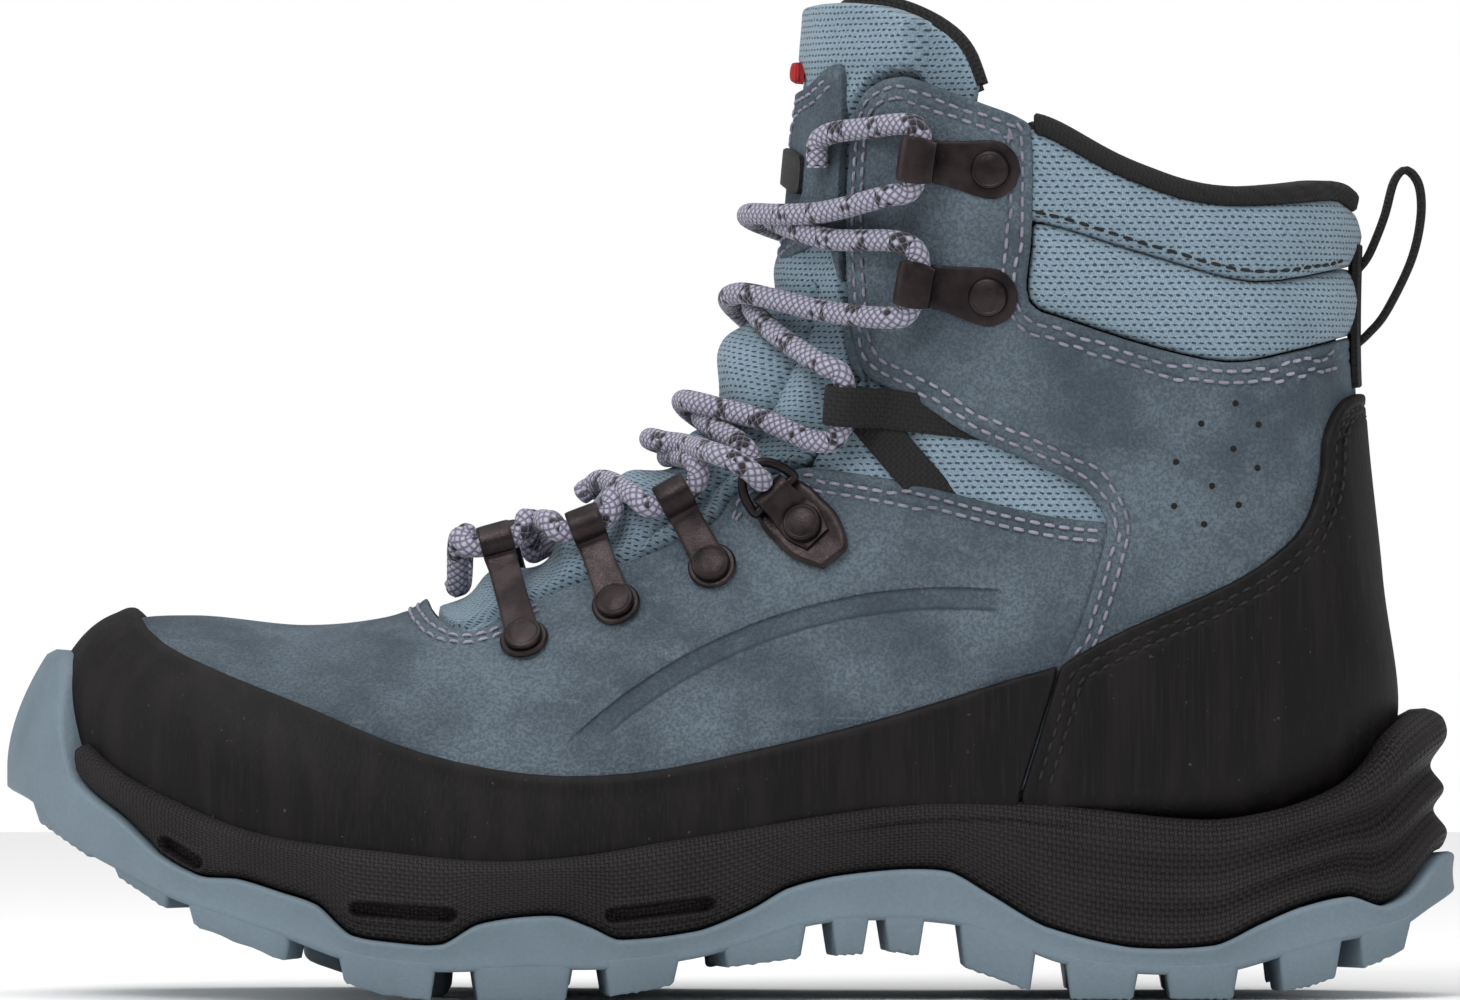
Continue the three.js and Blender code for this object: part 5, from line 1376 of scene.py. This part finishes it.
class Station:
    """A frame on the leather at a rivet: d points to the throat, n away from the leather, b up along the
    throat."""

    def __init__(self, rivet, aim, side):
        point, normal = on_side(*rivet, side)
        target, _ = on_side(*aim, side)
        self.point, self.n, self.side = point, normal, side
        way = target - point
        self.reach = float(np.linalg.norm(way))
        self.d = unit(way - normal * (way @ normal))
        self.b = np.cross(self.n, self.d) * side

    def at(self, along, up, across):
        along, up, across = (np.reshape(v, np.shape(v) + (1,)) for v in (along, up, across))
        return self.point + self.d * along + self.n * up + self.b * across

    def strap(self, path, half_widths, thickness, spans=56):
        """A bent strip: path is (along, up) points that the strip's middle follows, half_widths one per
        point."""
        line = evenly(spline(np.c_[np.array(path, float), half_widths], spans * 4), count=spans)
        p = self.at(line[:, 0], line[:, 1], np.zeros(len(line)))
        along = unit(np.gradient(p, axis=0))
        side_ = np.broadcast_to(self.b, p.shape)
        up = unit(np.cross(along, side_))
        return sweep(p, side_, up, circle(20, 1.0, 5.0), widths=line[:, 2],
                     heights=np.full(len(p), thickness / 2))


def rivet_shell(f, seat):
    """A rivet's cap: a low disc with a rolled edge and a fine groove near it, on a stem that goes into the
    leather."""
    radius = CAP_R
    rows = [(0, -2.0), (1.2, -2.0), (1.2, seat - 0.05), (radius - 0.25, seat), (radius, seat + 0.25),
            (radius, seat + 0.75),
            (radius - 0.25, seat + 1.15), (radius - 0.7, seat + 1.32), (radius - 0.95, seat + 1.22),
            (radius - 1.2, seat + 1.32),
            (radius - 2.4, seat + 1.48), (0, seat + 1.55)]
    return lathe(rows, (f.point, f.d, f.b, f.n))


def base_disc(f):
    """A round base under a rivet, its rim rolled over."""
    radius, low, high = BASE_R, GAP, GAP + 1.15
    rows = [(0, low), (radius - 0.3, low), (radius, low + 0.35), (radius, high - 0.45),
            (radius - 0.35, high - 0.05),
            (radius - 0.8, high), (0, high)]
    return lathe(rows, (f.point, f.d, f.b, f.n))


def lace_loop(f):
    """A folded strap: from the round base up over the lace, round it and back under, with a saddle
    between."""
    a = np.linspace(math.radians(158), math.radians(-100), 14)
    reach = f.reach
    over = [(reach + LOOP_MIDDLE * math.cos(t), LOOP_LIFT + LOOP_MIDDLE * math.sin(t)) for t in a]
    path = [(-1.5, 1.35), (1.5, 1.45), (4.2, 1.9), (reach - 4.6, 3.4), *over, (reach - 3.4, 0.95),
            (reach - 6.5, 0.85)]
    widths = [3.2, 3.6, 3.3, 3.15, *[3.4] * 14, 3.2, 3.0]
    return [f.strap(path, widths, 0.95), base_disc(f)]


def speed_hook(f):
    """A plate with a round foot, narrowing to a claw that bends up, over the lace and back, its lip
    flared."""
    r, top = f.reach, HOOK_LIFT + LACE_R + GAP
    path = [(-5.75, 0.9), (-5.0, 0.9), (-2.5, 0.9), (0, 0.9), (3, 0.9), (6, 0.9), (r - 5, 0.9),
            (r - 1.4, 0.92), (r + 0.9, 1.3),
            (r + 1.9, 2.9), (r + 1.9, top - 1.6), (r + 1.3, top - 0.1), (r - 0.4, top + 0.55),
            (r - 3, top + 0.35), (r - 5.4, top + 0.7)]
    widths = [0.6, 3.1, 5.3, 5.8, 5.5, 4.9, 4.3, 3.9, 3.8, 3.8, 4.1, 4.5, 4.7, 4.6, 4.0]
    return [f.strap(path, widths, 1.0, spans=90)]


def ring_plate(f):
    """The ring's plate: a bevelled six-sided base and a folded strap round the ring's bar."""
    outline = spline([(-9.6, -3.4), (-9.9, 0), (-9.6, 3.4), (-3.6, 6.2), (2, 6.4), (6, 6.2), (9.6, 4.4),
                      (9.8, 0), (9.6, -4.4), (6, -6.2),
                      (2, -6.4), (-3.6, -6.2), (-9.6, -3.4)], 60)[:-1]
    low = GAP + 0.25
    to_middle = 1000
    rows = [(to_middle, low), (0.5, low), (0.05, low + 0.3), (0.0, low + 0.6), (0.5, low + 1.0),
            (1.3, low + 1.12),
            (2.0, low + 0.95), (to_middle, low + 0.9)]
    centre = outline.mean(0)
    far = np.linalg.norm(outline - centre, axis=1, keepdims=True)
    points = []
    for inset, up in rows:
        q = centre + (outline - centre) * np.maximum(0, 1 - inset / far)
        points.append(f.at(q[:, 0], np.full(len(q), up), q[:, 1]))
    base = closed_net(np.vstack(points), len(rows), len(outline))
    a = np.linspace(math.radians(140), math.radians(-150), 12)
    over = [(KNUCKLE + 2.15 * math.cos(t), BAR_LIFT + 2.15 * math.sin(t)) for t in a]
    strap = f.strap([(-4.4, 1.9), (0, 2.0), (3.5, 2.2), (5.4, 3.6), *over, (5.2, 1.9), (3, 1.7)],
                    [3.0, 4.4, 4.1, 3.8, *[3.75] * 12, 3.7, 3.6], 0.85)
    return [base, strap]


def d_ring(f):
    """A closed D of round wire: a straight bar in the strap, and half an oval that leans away from the
    leather."""
    a = np.linspace(-np.pi / 2, np.pi / 2, 40)
    x = np.concatenate([np.zeros(5), RING_LONG * np.cos(a)])
    y = np.concatenate([[RING_R - 0.6, 2.6, 0.0, -2.6, -RING_R + 0.6], RING_R * np.sin(a)])
    line = f.at(KNUCKLE + x * math.cos(RING_LEAN), BAR_LIFT + x * math.sin(RING_LEAN), y)
    line = evenly(np.vstack([line, line[:1]]), count=97)[:-1]
    along = unit(np.roll(line, -1, 0) - np.roll(line, 1, 0))
    lean = unit(f.n * math.cos(RING_LEAN) - f.d * math.sin(RING_LEAN))
    up = np.broadcast_to(lean, line.shape)
    return sweep(line, unit(np.cross(along, up)), up, circle(14, 0.98), closed=True)


def fitting(name, node, shells, body="boot"):
    """A metal piece made of closed shells, in place of a node."""
    put(name, *gather(shells), BRONZE, "bronze_metal", body, (node,))


eyelets = {"lateral": [], "medial": []}
for name, side in SIDES.items():
    for i, (rivet, aim) in enumerate(LOOPS):
        f = Station(rivet, aim, side)
        fitting(f"lace_loop_strap_{name}_{i + 1}", f"lace_loop_{name}_{i + 1}", lace_loop(f))
        fitting(f"rivet_cap_{name}_{i + 1}", f"rivet_{name}_{i + 1}", [rivet_shell(f, SEAT)])
        eyelets[name].append({"f": f, "at": f.reach, "lift": LOOP_LIFT, "half": 3.2})
    r = Station(*RING, side)
    fitting(f"ring_base_{name}", f"ring_plate_{name}", ring_plate(r))
    fitting(f"rivet_cap_{name}_4", f"rivet_{name}_4", [rivet_shell(r, SEAT + 0.75)])
    fitting(f"ring_wire_{name}", f"d_ring_{name}", [d_ring(r)], f"ring_{name}")
    ring_lift = BAR_LIFT + RING_LONG * math.sin(RING_LEAN)
    eyelets[name].append({"f": r, "at": KNUCKLE + RING_LONG * math.cos(RING_LEAN), "lift": ring_lift,
                          "ring": name})
    w = Station(*WEB, side)
    eyelets[name].append({"f": w, "at": w.reach, "lift": LOOP_LIFT, "half": 4})
    for i, (rivet, aim) in enumerate(HOOKS):
        f = Station(rivet, aim, side)
        fitting(f"speed_hook_{name}_{i + 1}", f"hook_{name}_{i + 1}", speed_hook(f))
        fitting(f"rivet_cap_{name}_{i + 5}", f"rivet_{name}_{i + 5}", [rivet_shell(f, SEAT)])
        eyelets[name].append({"f": f, "at": f.reach - 1.6, "lift": HOOK_LIFT, "half": 4})


# ------------------------------------------------------------------ lace
def ride_height(u):
    """How far the lace's middle stands off the tongue: a little more over the padded top."""
    q = np.clip((u - 0.72) / 0.07, 0, 1)
    return LACE_R + 0.4 + 1.3 * q * q * (3 - 2 * q)


def over_tongue(u, c, lift):
    """A point over the tongue at (u, c): c runs from -1 (sole, outer side) over the ridge at 0 to 1, and s
    is c squared."""
    s = max(c * c, RIDGE_S)
    side = -1 if c < 0 else 1
    p, n = form_point(u, s, side), form_normal(u, s, side)
    if abs(c) < 0.03:
        p[1], n[1] = middle(u), 0
    return p + unit(n) * lift


def place_of(point, side):
    """u and signed root of s of a point's side position."""
    u, s = locate(point[0], point[2])
    return float(u), side * math.sqrt(max(float(s), 0.002))


def turn_points(eyelet):
    """The lace's turn in an eyelet. In a ring it comes in over the arc and leaves under it."""
    f, at, lift = eyelet["f"], eyelet["at"], eyelet["lift"]
    if "ring" in eyelet:
        clear = LACE_R + RING_WIRE + 0.65
        high, low = lift + clear, lift - clear
        rows = [(at + 5.4, high - 0.6, -2.6), (at + 1.6, high + 0.2, -1.2), (at - 1.6, high - 0.6, -0.4),
                (at - clear - 0.1, lift, 0),
                (at - 1.6, low + 0.6, 0.4), (at + 1.6, low - 0.2, 1.2), (at + 5.4, low - 0.4, 2.6)]
    else:
        h = eyelet["half"]
        rows = [(at + 4.6, lift - 0.4, -h - LACE_R - 1.5), (at + 1.2, lift, -h - LACE_R - 0.4),
                (at, lift, -h), (at, lift, 0),
                (at, lift, h), (at + 1.2, lift, h + LACE_R + 0.4), (at + 4.6, lift - 0.4, h + LACE_R + 1.5)]
    return [f.at(*row) for row in rows]


def crossing(a, side_a, b, side_b, ridge, over):
    """Six points between two eyelets, through the ridge stop. The strand that passes over the other rises
    there."""
    (ua, ca), (ub, cb) = place_of(a, side_a), place_of(b, side_b)
    points = []
    for k in range(1, 7):
        q = k / 7
        c = ca + (cb - ca) * q
        u = ua + (ub - ua) * q + (ridge - (ua + ub) / 2) * (1 - (2 * q - 1) ** 2)
        rise = (2 * LACE_R + 0.6) * math.exp(-((c / 0.2) ** 2)) if over else 0.0
        points.append(over_tongue(u, c, float(ride_height(u)) + rise + 1.2 * (2 * abs(q - 0.5)) ** 4))
    return points


def climb(start):
    """One half of the lace, from the bottom bar up, changing sides at each eyelet. Marks each ring's
    stops."""
    side, points, rings = start, [], []
    for i in range(len(eyelets["lateral"])):
        eyelet = eyelets["lateral" if side < 0 else "medial"][i]
        bend = turn_points(eyelet)
        if points:
            points += crossing(points[-1], -side, bend[0], side, RIDGE_STOPS[i],
                               i % 2 == (1 if start > 0 else 0))
        if "ring" in eyelet:
            rings.append((len(points), eyelet))
        points += bend
        side = -side
    side = -side
    points.pop()
    points += [on_side(29, 173.6, side, LACE_R + 1.4)[0], on_side(21, 171.5, side, LACE_R + 1.8)[0],
               on_side(20.4, 166, side, LACE_R + 1.6)[0]]
    return points, rings


left, left_rings = climb(-1)
right, right_rings = climb(1)
bar = crossing(left[0], -1, right[0], 1, RIDGE_STOPS[0], False)
stops = np.array([*left[::-1], *bar, *right])
SPANS = 9
lace_line = cord_line(stops, SPANS)
for _ in range(3):
    lace_line[1:-1] = (lace_line[:-2] + 2 * lace_line[1:-1] + lace_line[2:]) / 4
# The stop in the middle of a ring's turn, counted from its first.
TURN_MIDDLE = 3
ring_marks = [(len(left) - 1 - (k + TURN_MIDDLE), e) for k, e in left_rings]
ring_marks += [(len(left) + len(bar) + k + TURN_MIDDLE, e) for k, e in right_rings]
gone = lengths_along(lace_line)
side_way, up_way = carried_frames(lace_line, np.array([1.0, 0.0, 0.0]))
LACE_SIDES = 20


def ribbon(name, line, side_, up, section, material, slot, body="boot", stands_for=(), round_steps=None,
           start=0.0, **sizes):
    """A section swept along a line, with a surface map: the length along the line from start, and the
    distance round the section or the given steps."""
    points, groups = sweep(line, side_, up, section, **sizes)
    n, m = len(line), len(section)
    length = start + lengths_along(line)
    if round_steps is None:
        round_steps = lengths_along(np.vstack([section, section[:1]]))
    i, j = np.meshgrid(np.arange(n - 1), np.arange(m), indexing="ij")
    i, j = i.ravel(), j.ravel()
    uv = np.stack([np.c_[length[i], length[i + 1], length[i + 1], length[i]],
                   np.c_[round_steps[j], round_steps[j], round_steps[j + 1], round_steps[j + 1]]], -1)
    if inside_out(points, groups):
        groups, uv = [g[:, ::-1] for g in groups], uv[:, ::-1]
    caps = np.zeros((m * 2 * 3, 2))
    return put(name, points, groups, material, slot, body=body, stands_for=stands_for,
               uv=np.vstack([uv.reshape(-1, 2), caps]), angle=60)


def lace_piece(name, first, last, body="boot", stands_for=()):
    """A stretch of the lace: a round tube, its surface map running on from the lace's start."""
    return ribbon(name, lace_line[first: last + 1], side_way[first: last + 1], up_way[first: last + 1],
                  circle(LACE_SIDES, LACE_R), LACE_SKIN, "lace_textile", body, stands_for,
                  np.arange(LACE_SIDES + 1) / LACE_SIDES, gone[first])


# The lace's stops on each side of a ring, made into a piece of their own.
RING_STOPS = 8
cuts = sorted((max(0, (k - RING_STOPS) * SPANS), min(len(lace_line) - 1, (k + RING_STOPS) * SPANS), e)
              for k, e in ring_marks)
here, number = 0, 1
for low, high, eyelet in [*cuts, (len(lace_line) - 1, None, None)]:
    lace_piece(f"lace_run_{number}", here, low, stands_for=("lace",) if number == 1 else ())
    number += 1
    if eyelet is None:
        break
    turned_piece = lace_piece(f"lace_ring_turn_{eyelet['ring']}", low, high, body=None)
    f = eyelet["f"]
    ring_place = f.at(eyelet["at"], eyelet["lift"], 0.0)
    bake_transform(turned_piece)
    here = high


# ------------------------------------------------------------------ webbing, badge and tag
def web_section(half_width, half_thickness):
    """A strap's flat section with round edges."""
    return circle(24, 1.0, 4.0) * (half_width, half_thickness)


def web_strap(name, line, lifts, f, sleeve, stands_for=()):
    """A webbing strap that lies on the boot along a side line, at heights that run through lifts, then
    follows the sleeve: (along, up) points in the frame f. It stays flat to the surface."""
    flat = evenly(np.array(line, float), count=24)
    height = np.interp(np.linspace(0, 1, 24), np.linspace(0, 1, len(lifts)), lifts)
    p, n = on_side(flat[:, 0], flat[:, 1], f.side)
    p = p + n * height[:, None]
    if sleeve:
        turn = np.array(sleeve)
        p = np.vstack([p, f.at(turn[:, 0], turn[:, 1], np.zeros(len(turn)))])
        n = np.vstack([n, np.broadcast_to(f.n, (len(turn), 3))])
    path = evenly(spline(np.c_[p, n], 300)[:, :3], count=80)
    near = np.argmin(np.linalg.norm(path[:, None] - p[None], axis=2), axis=1)
    facing = n[near]
    across = unit(f.b - facing * (facing @ f.b)[:, None])
    up = unit(np.cross(unit(np.gradient(path, axis=0)), across))
    ribbon(name, path, across, up, web_section(4.0, 0.5), WEBBING, "webbing", stands_for=stands_for)


for name, side in SIDES.items():
    w = Station(*WEB, side)
    a = np.linspace(math.radians(140), math.radians(-110), 14)
    sleeve = [(w.reach + LOOP_MIDDLE * math.cos(t), LOOP_LIFT + LOOP_MIDDLE * math.sin(t)) for t in a]
    web_strap(f"webbing_loop_strap_{name}", [(57, 114.5), (31, 117.8)],
              (-0.5, -0.5, -0.5, -0.4, 0.1, 0.8, 1.6), w,
              [*sleeve, (w.reach - 5, 0.6)], (f"webbing_loop_{name}",))
    low = Station((44.0, 96.5), (26.5, 117.0), side)
    web_strap(f"webbing_strap_low_{name}", [(44, 96.5), (27.5, 116)],
              (-1.2, -1.1, -0.3, 0.2, 0.4, 0.5), low, [])

LOOP_LINE = [(126.2, 131), (128.4, 133), (132, 137.4), (137, 147.6), (139, 156.4), (138.6, 163), (136, 166),
             (133.6, 163.6), (131.6, 156.4), (128.6, 149), (126.4, 146)]
loop = evenly(spline(LOOP_LINE, 160), count=72)
loop = np.c_[loop[:, 0], np.zeros(72), loop[:, 1]]
along = unit(np.gradient(loop, axis=0))
across = np.broadcast_to(np.array([0.0, 1.0, 0.0]), loop.shape)
ribbon("heel_pull_strap", loop, across, unit(np.cross(along, across)), web_section(6.3, 0.8), WEBBING,
       "webbing",
       stands_for=("heel_pull_loop",))


def front_patch(name, u_low, u_high, half_width, foot, top, roll, material, slot, stands_for, sag=0.0):
    """A small rounded plate on the front of the tongue: a grid across the ridge between two values of u,
    drawn in to round corners, its face at top and its back at foot, with edges rounded by roll. sag bows
    its middle outwards."""
    a, b = np.meshgrid(np.linspace(-1, 1, 41), np.linspace(-1, 1, 25), indexing="ij")
    long_, short = a * np.sqrt(1 - 0.03 * b**8), b * np.sqrt(1 - 0.06 * a**8)
    u = (u_low + u_high) / 2 + short * (u_high - u_low) / 2
    turns_ = np.linspace(0, 1.5, 80)
    widths = ring_point(np.full(80, (u_low + u_high) / 2), turns_)[:, 1] - float(middle((u_low + u_high) / 2))
    turn = np.sign(long_) * np.interp(abs(long_) * half_width, widths, turns_)
    p, n = ring_point(u, turn), ring_normal(u, turn)
    edge_ = np.minimum((1 - abs(long_)) * half_width, (1 - abs(short)) * 4.0)
    face = top - rounded(edge_, roll) + sag * (1 - a**2) * (1 - b**2)
    high, low = p + n * face[..., None], p + n * foot
    points = np.vstack([high.reshape(-1, 3), low.reshape(-1, 3)])
    faces = [np.vstack(two_skins(sheet_faces(*a.shape), a.size))]
    return put(name, points, outward(points, faces), material, slot, stands_for=stands_for, angle=40)


badge_u, tag_u = [np.interp(z, form_point(np.linspace(0.8, 1, 90), RIDGE_S, 1)[:, 2], np.linspace(0.8, 1, 90))
                  for z in ((162.6, 170.2), (183.5, 187.5))]
front_patch("tongue_badge_plate", *badge_u, 12.6, 1.2, 2.7, 0.6, BADGE_SKIN, "badge_rubber",
            ("tongue_badge",))
front_patch("tongue_tag_loop", *tag_u, 5.8, 0.3, 2.3, 0.9, TAG_CLOTH, "tag_textile", ("tongue_tag",), sag=0.4)

# ------------------------------------------------------------------ stitches and perforations
def inside(line, distance, side):
    """A line moved to its right by a distance measured on the leather rather than in the side view."""
    _, normals = on_side(line[:, 0], line[:, 1], side)
    way = unit(np.gradient(line, axis=0))
    way = np.c_[way[:, 1], -way[:, 0]]
    lean = (way * normals[:, [0, 2]]).sum(1)
    return line + way * (distance * np.sqrt(np.maximum(1 - lean**2, 0.1)))[:, None]


def on_leather(leather, points, normals):
    """The nearest places on a leather piece to points a little above it."""
    near = [leather.closest_point_on_mesh(Vector(q * MM)) for q in points + normals * 1.2]
    return np.array([hit[1][:] for hit in near]) / MM


# A stitch: its sides, the places of its rings along it, their widths and how far each stands up. Then the
# step from stitch to stitch, the length of one, and the thread's radius.
STITCH_SIDES, STITCH_RINGS = 6, np.array([-1.0, -0.82, -0.4, 0.4, 0.82, 1.0])
STITCH_WIDE = np.array([0.35, 0.8, 1.0, 1.0, 0.8, 0.35])
STITCH_RISE = np.array([-0.3, 0.02, 0.2, 0.2, 0.02, -0.3])
STEP, STITCH_LONG, THREAD_R = 3.0, 2.3, 0.36


def stitches(name, rows, thread):
    """Runs of thread: at every step along each row stands one short six-sided bead. Its width and rise
    swell in the middle and its ends dip into the leather."""
    shells = []
    turn = 2 * np.pi * np.arange(STITCH_SIDES) / STITCH_SIDES
    wide, rise = STITCH_WIDE[:, None, None], STITCH_RISE[:, None, None]
    for leather, line, side in rows:
        p, n = on_side(line[:, 0], line[:, 1], side)
        fine = evenly(p, step=STEP)
        gone_ = np.arange(len(fine)) * STEP
        facing = unit(np.stack([np.interp(gone_, lengths_along(p), n[:, k]) for k in range(3)], 1))
        centre = on_leather(leather, fine, facing)
        along = unit(np.gradient(centre, axis=0))
        across = unit(np.cross(facing, along))
        up = unit(np.cross(along, across))
        grid = (centre[:, None, None] + along[:, None, None] * (STITCH_RINGS * STITCH_LONG / 2)[:, None, None]
                + across[:, None, None] * (np.cos(turn) * THREAD_R)[:, None] * wide
                + up[:, None, None] * ((np.sin(turn) * THREAD_R * 0.9)[:, None] * wide + rise))
        shells.append(grid.reshape(-1, 3))
    points = np.vstack(shells)
    size = len(STITCH_RINGS) * STITCH_SIDES
    ends = np.array([[0, 3, 2, 1], [0, 5, 4, 3]])
    one = np.vstack([sheet_faces(len(STITCH_RINGS), STITCH_SIDES, closed_columns=True), ends,
                     ends[:, ::-1] + size - STITCH_SIDES])
    faces = (one[None] + (np.arange(len(points) // size) * size)[:, None, None]).reshape(-1, 4)
    slot = "lace_textile" if thread == PALE_THREAD else "webbing"
    return put(name, points, outward(points, [faces]), thread, slot, angle=70)


pale, dark = [], []
quarter_edge = np.vstack([cut(quarter_front, lambda x, z: z > 69)[:-1], eyestay, tab_top[1:], collar_low[1:]])
quarter_edge = cut(quarter_edge, lambda x, z: x < 124)
vamp_edge = np.vstack([cut(throat, lambda x, z: x > -2), vamp_top[1:]])
vamp_edge = cut(vamp_edge, lambda x, z: x < 73)
throat_tip = cut(throat, lambda x, z: (x < -38) & (z < 80))
patch_high = cut(patch_top, lambda x, z: (x < 19) & (x > -3))
patch_foot = cut(patch_low, lambda x, z: (x < 19) & (x > -3))
cover_edge = cut(np.vstack([seam_up, counter_top[1:]]), lambda x, z: (z > 43) & (x < 124))
for name, side in SIDES.items():
    pale += [(quarters[name], inside(quarter_edge, d, side), side) for d in (2.2, 4.5)]
    pale += [(vamp, inside(line, d, side), side) for line in (vamp_edge, throat_tip) for d in (2.3, 4.3)]
    pale += [(tongue_patch, inside(line, d, side), side) for line in (patch_high, patch_foot)
             for d in (2.0, 4.2)]
    dark += [(heel_cover, inside(cover_edge, d, side), side) for d in (2.6, 4.8)]
channel = cut(collar_seam, lambda x, z: (x > 60.5) & (x < 124))
dark += [(upper_pad, inside(channel, -1.6, side), side) for side in SIDES.values()]
stitches("pale_stitching", pale, PALE_THREAD)
stitches("dark_stitching", dark, DARK_THREAD)

# Each perforation is a flat dark disc on the quarter: the lining seen through the hole, and painted shade
# inside it.
discs = []
for name, side in SIDES.items():
    p, n = on_side(PERFORATIONS[:, 0], PERFORATIONS[:, 1], side)
    spots = on_leather(quarters[name], p, n)
    for q, m in zip(spots, n):
        d = unit(np.cross(m, (0.0, 1.0, 0.001)))
        discs.append(lathe([(0, -0.4), (0.6, -0.4), (0.66, 0.02), (0.55, 0.07), (0, 0.07)],
                           (q, d, np.cross(m, d), m), 16))
put("perforations", *gather(discs), HOLE_AND_SHADE, "lining_textile")

top_edge = cut(tongue_top, lambda x, z: x > 5)
halves = [on_side(top_edge[:, 0], top_edge[:, 1] + 0.2, side, -7.6)[0] for side in (-1, 1)]
p = evenly(np.vstack([halves[0][::-1], halves[1]]), count=80)
side_, up = carried_frames(p, np.array([0.0, 0.0, 1.0]))
ribbon("tongue_edge_binding", p, side_, up, web_section(1.6, 1.6), WEBBING, "webbing")

# ------------------------------------------------------------------ insole
INSOLE_TOP = [
    (-118, 45), (-104, 38.4), (-85, 33.4), (-62, 31.4), (-38, 31.4), (-8, 36), (30, 42.6), (72, 42),
    (108, 42.6), (116, 43.7),
]
insole_x = np.linspace(-110, 113, 110)
insole_z = through(INSOLE_TOP)(insole_x)
edges = [on_side(insole_x, insole_z, side, -6.2)[0] for side in (-1, 1)]
share = np.linspace(0, 1, 41)[None, :, None]
top_face = edges[0][:, None] * (1 - share) + edges[1][:, None] * share
cup = (2 * share[..., 0] - 1) ** 4
top_face[..., 2] = insole_z[:, None] + 1.6 * cup - 0.4
bottom_face = top_face - (0, 0, 2.2)
around = np.concatenate([top_face, bottom_face[:, ::-1]], 1)
points = around.reshape(-1, 3)
count, ring_size = around.shape[0], around.shape[1]
sides_ = sheet_faces(count, ring_size, closed_columns=True)
lid = np.arange(40)
ends = np.vstack([np.c_[lid, lid + 1, ring_size - 2 - lid, ring_size - 1 - lid],
                  np.c_[lid + 1, lid, ring_size - 1 - lid, ring_size - 2 - lid] + (count - 1) * ring_size])
groups = outward(points, [np.vstack([sides_, ends])])
put("insole_cloth", points, groups, LINING_CLOTH, "knit", stands_for=("insole",), angle=60)

# ------------------------------------------------------------------ floor and light
def soft_light(name, place, aim, size, power):
    """A square area light at a place, turned to face its aim."""
    data = bpy.data.lights.new(name, "AREA")
    data.shape = "SQUARE"
    data.size = size
    data.energy = power
    lamp = bpy.data.objects.new(name, data)
    lamp.location = place
    lamp.rotation_euler = (Vector(aim) - Vector(place)).to_track_quat("-Z", "Y").to_euler()
    bpy.context.scene.collection.objects.link(lamp)


def pale_floor():
    """A wide flat floor, pale and matt."""
    mesh = bpy.data.meshes.new("floor")
    reach = 1.6
    corners = [(-reach, -reach, 0), (reach, -reach, 0), (reach, reach, 0), (-reach, reach, 0)]
    mesh.from_pydata(corners, [], [(0, 1, 2, 3)])
    floor = bpy.data.objects.new("floor", mesh)
    material = bpy.data.materials.new("pale_floor")
    material.use_nodes = True
    shader = material.node_tree.nodes["Principled BSDF"]
    shader.inputs["Base Color"].default_value = (0.92, 0.92, 0.92, 1)
    shader.inputs["Roughness"].default_value = 0.9
    mesh.materials.append(material)
    bpy.context.scene.collection.objects.link(floor)


pale_floor()
soft_light("key", (-0.5, -1.1, 1.2), (0, 0, 0.08), 0.8, 13)
soft_light("side", (1.1, -0.9, 0.7), (0.02, 0, 0.08), 0.7, 4.5)
sun = bpy.data.lights.new("overhead", "SUN")
sun.energy = 1.7
sun.angle = math.radians(70)
overhead = bpy.data.objects.new("overhead", sun)
bpy.context.scene.collection.objects.link(overhead)
soft_light("front", (-1.2, -0.2, 0.5), (-0.05, 0, 0.06), 0.7, 4)
world = bpy.data.worlds.new("studio")
world.use_nodes = True
sky = world.node_tree.nodes["Background"]
sky.inputs["Color"].default_value = (1.0, 1.0, 1.0, 1)
rays = world.node_tree.nodes.new("ShaderNodeLightPath")
feed(world.node_tree, sky.inputs["Strength"],
     spread(world.node_tree, rays.outputs["Is Camera Ray"], 0, 1, 0.32, 1.0))
bpy.context.scene.world = world
bpy.context.scene.view_settings.view_transform = "Standard"

# ------------------------------------------------------------------ finishes of the CAD nodes
SLOT_FINISH = {
    "sole_rubber": SOLE, "midsole_foam": FOAM, "shank_plastic": PLASTIC, "nubuck": NUBUCK,
    "rand_rubber": RAND_SKIN,
    "board": BOARD, "knit": KNIT, "lining_textile": LINING_CLOTH, "webbing": WEBBING,
    "badge_rubber": BADGE_SKIN,
    "tag_textile": TAG_CLOTH, "lace_textile": LACE_SKIN, "bronze_metal": BRONZE,
}
slots_of = {part["node"]: part["material_slot"] for part in frame["record"]["subparts"]}
for node, obj in frame["nodes"].items():
    finish = SLOT_FINISH[slots_of[node]]
    if not obj.material_slots:
        obj.data.materials.append(finish)
    for material_slot in obj.material_slots:
        material_slot.material = finish
